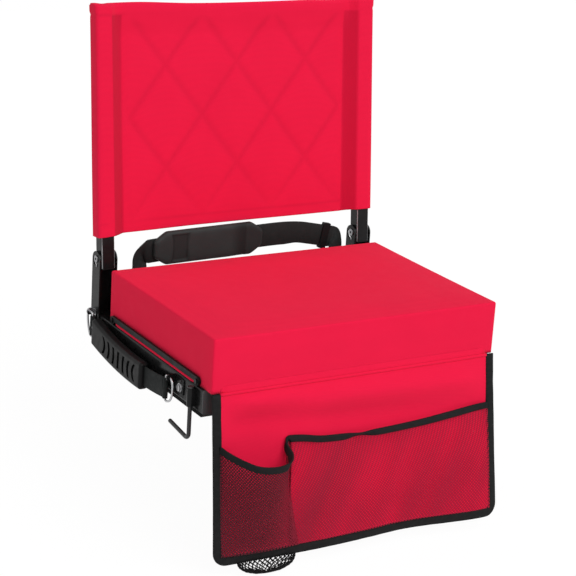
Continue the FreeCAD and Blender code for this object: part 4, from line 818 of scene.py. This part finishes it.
def through(points, t):
    """A smooth curve through points, t from 0 to 1."""
    place = min(max(t, 0.0), 1.0) * (len(points) - 1)
    k = min(int(place), len(points) - 2)
    f = place - k
    p = [points[min(max(i, 0), len(points) - 1)] for i in (k - 1, k, k + 1, k + 2)]
    return tuple(0.5 * (2 * b + (c - a) * f + (2 * a - 5 * b + 4 * c - d) * f * f
                        + (3 * b - a - 3 * c + d) * f ** 3) for a, b, c, d in zip(*p))


def rim_place(t):
    """The pockets' mouth line as (x, v, u)."""
    if t <= 1:
        return through(CUP_RIM, t)
    s = t - 1
    x = mix(PLEAT, SEAM_RIGHT, s)
    bow = 9.0 * math.sin(math.pi * s ** 0.8)
    return (x, SEWN + bow, MOUTH + bow * smooth(0, 0.15, s) + 2.5 * hump(x, MOUTH_FOLD, 16))


def foot_place(t):
    """The pockets' sewn foot as (x, v, u), with a pleat folded back at the bottle pocket's end."""
    fold, turn = -96.0, 0.86
    if t > 1:
        return (mix(PLEAT, SEAM_RIGHT, t - 1), 2.4 + 2.2 * math.sin(math.pi * (t - 1)), FOOT)
    s = min(t / turn, 1.0)
    v = SEWN + 6.0 * math.sin(math.pi * s * 0.9)
    if t < turn:
        return (mix(SEAM_LEFT, fold, s), v, FOOT)
    back = (t - turn) / (1 - turn)
    return (mix(fold, PLEAT, back), v + 1.2 * (1 - back), FOOT)


def mouth_frames():
    """At each place along the mouth: a point on the tape's upper edge, its way down and out."""
    ts = pocket_places()
    places = [Vector(rim_place(t)) for t in ts]
    frames = []
    for k, (t, at) in enumerate(zip(ts, places)):
        along = (places[min(k + 1, len(places) - 1)] - places[max(k - 1, 0)]).normalized()
        down = Vector((0, 0, 1))
        out = along.cross(down).normalized()
        down = (down - along * down.dot(along)).normalized()
        lean = 62.0 * hump(at.x, MOUTH_FOLD, 18) if t > 1 else 52.0 * hump(t, 0.68, 0.11)
        c, s = math.cos(math.radians(lean)), math.sin(math.radians(lean))
        frames.append((at, down * c + out * s, out * c - down * s))
    return frames


def pocket_mesh():
    """One mesh panel over the flap's width: the bottle pocket bulges, the rest is nearly flat."""
    rows, under_tape, clear = 30, 7.0, 1.4
    ts = pocket_places()
    tops = [at + way * under_tape for at, way, _ in mouth_frames()]
    local, uv, dense, dark = [], [], [], []
    for r in range(rows + 1):
        w = r / rows
        full = 1 - (1 - w) ** 1.25
        along, before = 0.0, None
        for t, a in zip(ts, tops):
            b = foot_place(t)
            x, v, u = mix(a[0], b[0], w ** 1.3), mix(a[1], b[1], full), mix(a[2], b[2], w)
            ripple = noise.noise(Vector((x * 0.02 + 0.3, u * 0.012, 2.0 + (t > 1) * 4.0)))
            v += 1.6 * ripple * math.sin(math.pi * w)
            p = (x, max(v, clear) + flap_wave(x, u), u)
            if before:
                along += math.dist(p, before)
            before = p
            local.append(p)
            uv.append((along, u))
            # dark is painted shade: strong on the bottle pocket, more so to its left; patch and
            # streak make painted shade patches through both dense and dark where the mesh stands
            # off the flap
            cup, left = smooth(1.02, 0.98, t), smooth(0.95, 0.35, t)
            patch = noise.noise(Vector((x * 0.018 + u * 0.010, (u - 0.35 * x) * 0.006, 7.3)))
            patch += 0.6 * hump(x, 170, 50) * hump(u, 105, 32)
            patch -= 0.7 * hump(x, 20, 70) * hump(u, 188, 45)
            streak = noise.noise(Vector(((x + 0.45 * u) * 0.045, (u - 0.4 * x) * 0.004, 1.7)))
            flat = 0.50 - 0.36 * patch - 0.36 * streak
            dense.append(min(max(mix(flat, 0.80 + 0.10 * left, cup), 0.0), 1.0))
            dark.append(mix(0.02 + 0.34 * max(-patch, 0.0), 0.60 + 0.32 * left, cup))
    made = piece("pocket_mesh", local, flipped(grid(rows + 1, len(ts))), red_mesh, "flap",
                 "red_mesh", ("cup_pocket", "flat_pocket"))
    layer = made.data.uv_layers.new(name="flat")
    for loop in made.data.loops:
        layer.data[loop.index].uv = uv[loop.vertex_index]
    attribute(made, "dense", dense)
    attribute(made, "dark", dark)
    return made


def mouth_tape():
    """One black tape round both pockets' mouths."""
    width, clear = 8.8, 1.2
    section = mirrored(((0, -0.9), (0.15, -1.15), (0.85, -1.1), (1, -0.5)))
    rings = []
    for at, way, out in mouth_frames():
        ring = [at + way * a * width + out * b for a, b in section]
        rings.append([(p.x, max(p.y, clear) + flap_wave(p.x, p.z), p.z) for p in ring])
    return piece("pocket_mouth_tape", *swept(rings), black_tape, "flap", "black_webbing",
                 ("cup_pocket_binding", "flat_pocket_binding"))


def bottle_net():
    """Knotted net bag under the bottle pocket: diamond strands on a sagging bowl."""
    middle, half, deep, drop, radius = -142.5, 41.5, 8.5, 17.8, 0.55
    columns, rows, sides = 34, 8, 5

    def bowl(a, w):
        share = math.cos(w * math.pi / 2 * 0.93)
        turn = 2 * math.pi * a
        x = middle + half * share * math.cos(turn)
        v = 3.5 + mix(2.0, deep, smooth(0, 0.35, w)) * share * math.sin(turn)
        v += 2.5 * smooth(0, 0.5, w)
        u = FLAP_LENGTH - 1.5 + drop * math.sin(w * math.pi / 2)
        u += 0.6 * noise.noise(Vector((x * 0.1, v * 0.1, 4.0)))
        return Vector((x, v + flap_wave(x, FLAP_LENGTH), u))

    def strand(a, b):
        """Thicker towards the knots at its ends."""
        along = (b - a).normalized()
        side = along.orthogonal().normalized()
        other = along.cross(side)
        turns = [2 * math.pi * k / sides for k in range(sides)]
        ring = [side * math.cos(turn) + other * math.sin(turn) for turn in turns]
        places = ((a, radius * 1.5), ((a + b) / 2, radius), (b, radius * 1.5))
        return swept([[tuple(p + d * r) for d in ring] for p, r in places])

    groups = []
    for r in range(rows):
        shift = 0.5 if r % 2 else 0.0
        for c in range(columns):
            here = bowl((c + shift) / columns, r / rows)
            for step in (-0.5, 0.5):
                groups.append(strand(here, bowl((c + shift + step) / columns, (r + 1) / rows)))
    return piece("bottle_net", *joined(groups), net_cord, "flap", "black_net",
                 ("cup_pocket_net",))


sheet_piece = flap_sheet()
edge_piece = edge_binding()
mesh_piece = pocket_mesh()
mouth_piece = mouth_tape()
net_piece = bottle_net()


# Shoulder strap


def spline_points(route, steps, closed=False):
    """Points read from the smooth curve that has route as its control points."""
    data = bpy.data.curves.new("route", "CURVE")
    data.dimensions = "3D"
    data.resolution_u = steps
    spline = data.splines.new("NURBS")
    spline.points.add(len(route) - 1)
    for point, place in zip(spline.points, route):
        point.co = (*place, 1.0)
    spline.order_u = 3
    spline.use_endpoint_u = not closed
    spline.use_cyclic_u = closed
    guide = bpy.data.objects.new("route", data)
    line = bpy.data.meshes.new_from_object(guide)
    places = [v.co.copy() for v in line.vertices]
    bpy.data.objects.remove(guide)
    bpy.data.curves.remove(data)
    bpy.data.meshes.remove(line)
    return places


def loop_round(at, axis, side, width, bore, wall):
    """A sewn loop: a short tube of tape round a bar."""
    at, axis, side = Vector(at), Vector(axis), Vector(side)
    other, steps = axis.cross(side), 20
    section = ((bore, -1), (bore + wall, -1), (bore + wall, 1), (bore, 1))
    rings = []
    for k in range(steps):
        a = 2 * math.pi * k / steps
        ray = side * math.cos(a) + other * math.sin(a)
        rings.append([tuple(at + ray * r + axis * w * width / 2) for r, w in section])
    return swept(rings, closed=True)


def shoulder_strap():
    """Strap from the left ring to the right ring, twisted at its ends, wider beside the buckle."""
    left_roll, right_roll, widening, loop_top = 32.0, 23.0, 2.4, 3.2
    route = ((STRAP_LEFT, STRAP_BAR), (STRAP_LEFT, 100.0), (-155.6, 118.2), (-140.0, 121.4),
             (22.0, 126.6), (92.05, 127.9), (134.0, 118.96), (151.0, 115.34), (164.5, 112.47),
             (STRAP_RIGHT, 101.5), (STRAP_RIGHT, 90.0), (STRAP_RIGHT, STRAP_BAR))
    places = spline_points([(x, 0.0, z) for x, z in route], 10)
    rings = []
    for k, (x, _, z) in enumerate(places):
        way = places[min(k + 1, len(places) - 1)] - places[max(k - 1, 0)]
        turn = math.atan2(way.z, way.x)
        roll = left_roll * smooth(STRAP_BAR, 108, z) * smooth(-141, -153, x)
        roll -= right_roll * smooth(STRAP_BAR, 98, z) * smooth(160, 168, x)
        c, s = math.cos(math.radians(roll)), math.sin(math.radians(roll))
        side = (-math.sin(turn) * c, -s, math.cos(turn) * c)
        face = (-math.sin(turn) * s, c, math.cos(turn) * s)
        wide = widening * smooth(104, 76, x) * smooth(STRAP_BAR, 100, z)
        rings.append(tape_ring((x, STRAP_PLANE, z - wide / 2), side, face, STRAP_WIDTH + wide,
                               WEB_THICK))
    for end in (0, -1):
        rings[end] = [(x, y, z + loop_top) for x, y, z in rings[end]]
    ends = [loop_round((x, STRAP_PLANE, STRAP_BAR), (1, 0, 0), (0, 1, 0), STRAP_WIDTH, 2.35, 1.7)
            for x in (STRAP_LEFT, STRAP_RIGHT)]
    points, faces = joined([swept(rings)] + ends)
    piece("strap_webbing", points, faces, black_web, "seat_base", "black_webbing",
          ("shoulder_strap",))


def shoulder_pad():
    """Moulded pad in front of the strap, with an hourglass recess and a band across it."""
    left, right, rear, thick = -135.5, 38.5, 186.4, 7.6
    slot_x, band_left, band_right = -95.3, -18.0, 9.6
    columns, rows = 96, 30

    def centre(x):
        return 122.1 + 4.7 * (x - STRAP_LEFT) / 246.6

    def half(x):
        d = min(x - left, right - x)
        soft = math.sqrt(max(1 - (1 - min(d / 11.0, 1.0)) ** 2, 0.0))
        return mix(8.0, 15.7, soft) + 8.4 * smooth(3, 22, d)

    def waist(t):
        """Half the recess's width at height t."""
        return 13.6 - 3.4 * (1 - t * t)

    def front(x, t):
        d, aside, high = min(x - left, right - x), abs(x - slot_x), abs(t)
        edge = (1 - high ** 7) ** 0.45 * (1 - (1 - min(d / 8.0, 1.0)) ** 3) ** 0.5
        inside = smooth(waist(t) + 0.8, waist(t) - 0.8, aside) * smooth(0.80, 0.76, high)
        lip = hump(aside, waist(t), 1.3) * smooth(0.84, 0.78, high)
        band = smooth(band_left, band_right - 2, x) * smooth(band_right + 0.8, band_right - 0.4, x)
        y = thick * mix(0.28, 1.0, edge) - 1.5 * inside - 0.9 * lip - 1.0 * band
        return y + 0.35 * noise.noise(Vector((x * 0.05, t * 1.4, 0.5)))

    # Painted shade in the hourglass recess, along its outline and in the recessed band; the end
    # beyond the band is darker
    def pad_shade_and_darker_end(x, t):
        aside, high = abs(x - slot_x), abs(t)
        slot = smooth(waist(t) + 1.0, waist(t) - 1.0, aside) * smooth(0.82, 0.76, high)
        outline = hump(aside, waist(t), 1.6) * smooth(0.86, 0.80, high)
        band = smooth(band_left, band_right - 4, x) * smooth(band_right + 0.8, band_right - 0.6, x)
        end = smooth(band_right - 0.6, band_right + 0.8, x)
        return min(max(0.45 * slot, 0.9 * outline, 0.8 * band, 0.42 * end), 1.0)

    places = [mix(left, right, 0.5 - 0.5 * math.cos(math.pi * k / columns))
              for k in range(columns + 1)]
    ts = [math.sin(math.pi / 2 * (2 * r / rows - 1)) for r in range(rows + 1)]
    spots = [(x, t) for t in ts for x in places]
    count, back = columns + 1, len(spots)
    points = [(x, rear - front(x, t), centre(x) + half(x) * t) for x, t in spots]
    points += [(x, rear, centre(x) + half(x) * t) for x, t in spots]
    faces = grid(rows + 1, count) + flipped(grid(rows + 1, count, start=back))
    loop = [r * count + c for c, r in border(columns, rows)]
    for a, b in zip(loop, loop[1:] + loop[:1]):
        faces.append((b, a, a + back, b + back))
    made = piece("shoulder_pad_form", points, faces, pad_foam, "seat_base", "black_plastic",
                 ("shoulder_pad",))
    attribute(made, "shade", [pad_shade_and_darker_end(x, t) for x, t in spots] + [0.0] * back)


shoulder_strap()
shoulder_pad()


# Carry handle's webbing and rings


def handle_web():
    """Webbing in a shallow arc between the rings' bars."""
    first, last, sag, drop, steps = 10.0, HANDLE_SPAN - 10.0, 11.0, 18.0, 40
    half, middle, loop_end = (last - first) / 2, (first + last) / 2, 3.4
    radius = (half ** 2 + sag ** 2) / (2 * sag)
    rings = []
    for k in range(steps + 1):
        s = mix(first + loop_end, last - loop_end, k / steps)
        t = math.sqrt(radius ** 2 - (s - middle) ** 2) - (radius - sag)
        along = (s - middle) / radius
        rings.append(tape_ring((0.0, s, drop + t), (0, along, math.sqrt(1 - along ** 2)), (1, 0, 0),
                               HANDLE_WEB_WIDTH, WEB_THICK))
    ends = [loop_round((0, s, drop), (0, 0, 1), (1, 0, 0), HANDLE_WEB_WIDTH, 1.9, 1.6)
            for s in (first, last)]
    piece("handle_webbing", *joined([swept(rings)] + ends), black_web, "handle", "black_webbing",
          ("handle_strap",))


def handle_d_rings():
    """Wire D-rings: the straight bar is in the webbing's loop, the top turns in the frame's lug."""
    front = ((-4, 0), (0, 0), (5, 0), (9.6, 0.2), (10, 3.5), (10, 10), (10, 26), (10, 32.5),
             (8.6, 35.2), (3, 34.4), (-4.5, 30.5), (-9, 22), (-10, 12), (-8.2, 3.2))
    rear = ((4, 0), (0, 0), (-5, 0), (-9.6, 0.2), (-10, 3.5), (-10, 10), (-10, 26), (-10, 32.5),
            (-8.6, 35.2), (-3, 33.6), (1.5, 27), (5.0, 18), (6.6, 9), (6.4, 2.4))
    sides, radius, out = 12, 1.5, Vector((1, 0, 0))
    turns = [2 * math.pi * a / sides for a in range(sides)]
    groups = []
    for start, route in ((0.0, front), (HANDLE_SPAN, rear)):
        line = spline_points([(0.0, start + s, t) for s, t in route], 6, closed=True)
        rings = []
        for k, at in enumerate(line):
            side = (line[(k + 1) % len(line)] - line[k - 1]).normalized().cross(out)
            rings.append([tuple(at + (out * math.cos(turn) + side * math.sin(turn)) * radius)
                          for turn in turns])
        groups.append(swept(rings, closed=True))
    piece("handle_d_rings", *joined(groups), bright_steel, "handle", "bright_steel",
          ("handle_rings",))


handle_web()
handle_d_rings()


# Stage, light and camera


def stage():
    half, gap, glow, ambient = 4, 0.002, 0.94, 0.50
    z = min(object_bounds()[0][2], cad_box[0][2]) - gap
    mesh = bpy.data.meshes.new("floor")
    mesh.from_pydata([(-half, -half, z), (half, -half, z), (half, half, z), (-half, half, z)], [],
                     [(0, 1, 2, 3)])
    floor = bpy.data.objects.new("floor", mesh)
    scene.collection.objects.link(floor)
    n = material("floor_white")
    mesh.materials.append(n.finish(Base_Color=(0.9, 0.9, 0.9, 1), Roughness=0.9))
    white = n.add("ShaderNodeEmission", Color=(1, 1, 1, 1), Strength=1.02)
    both = n.add("ShaderNodeMixShader")
    n.link(n.math("MULTIPLY", n.seen_rays(), glow), both.inputs[0])
    n.link(n.shader.outputs[0], both.inputs[1])
    n.link(white.outputs[0], both.inputs[2])
    n.link(both.outputs[0], n.tree.nodes["Material Output"].inputs["Surface"])
    floor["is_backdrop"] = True

    n = Nodes(bpy.data.worlds.new("studio"))
    sky = n.tree.nodes["Background"].inputs
    sky["Color"].default_value = (1, 1, 1, 1)
    n.link(n.span(n.seen_rays(), ambient, 1.0, 0.0, 1.0), sky["Strength"])
    scene.world = n.block

    for name, direction, energy, angle in (("key", (0.16, -0.69, 0.71), 1.69, 50.0),
                                           ("fill", (-0.30, -0.80, 0.45), 0.05, 70.0)):
        data = bpy.data.lights.new(name, "SUN")
        data.energy, data.angle = energy, math.radians(angle)
        lamp = bpy.data.objects.new(name, data)
        lamp.rotation_euler = Vector(direction).to_track_quat("Z", "Y").to_euler()
        scene.collection.objects.link(lamp)


def camera():
    data = bpy.data.cameras.new("camera")
    data.lens, data.sensor_width = 110.65, 36.0
    data.clip_start, data.clip_end = 0.05, 50.0
    made = bpy.data.objects.new("camera", data)
    place, target = Vector((-1.20566, -1.94734, 0.83675)), Vector((-0.01768, 0.0090, 0.1067))
    roll = Quaternion((0, 0, 1), math.radians(3.570))
    aim = (target - place).to_track_quat("-Z", "Y") @ roll
    made.matrix_world = Matrix.LocRotScale(place, aim, None)
    scene.collection.objects.link(made)
    scene.camera = made


stage()
camera()
scene.view_settings.view_transform = "Standard"
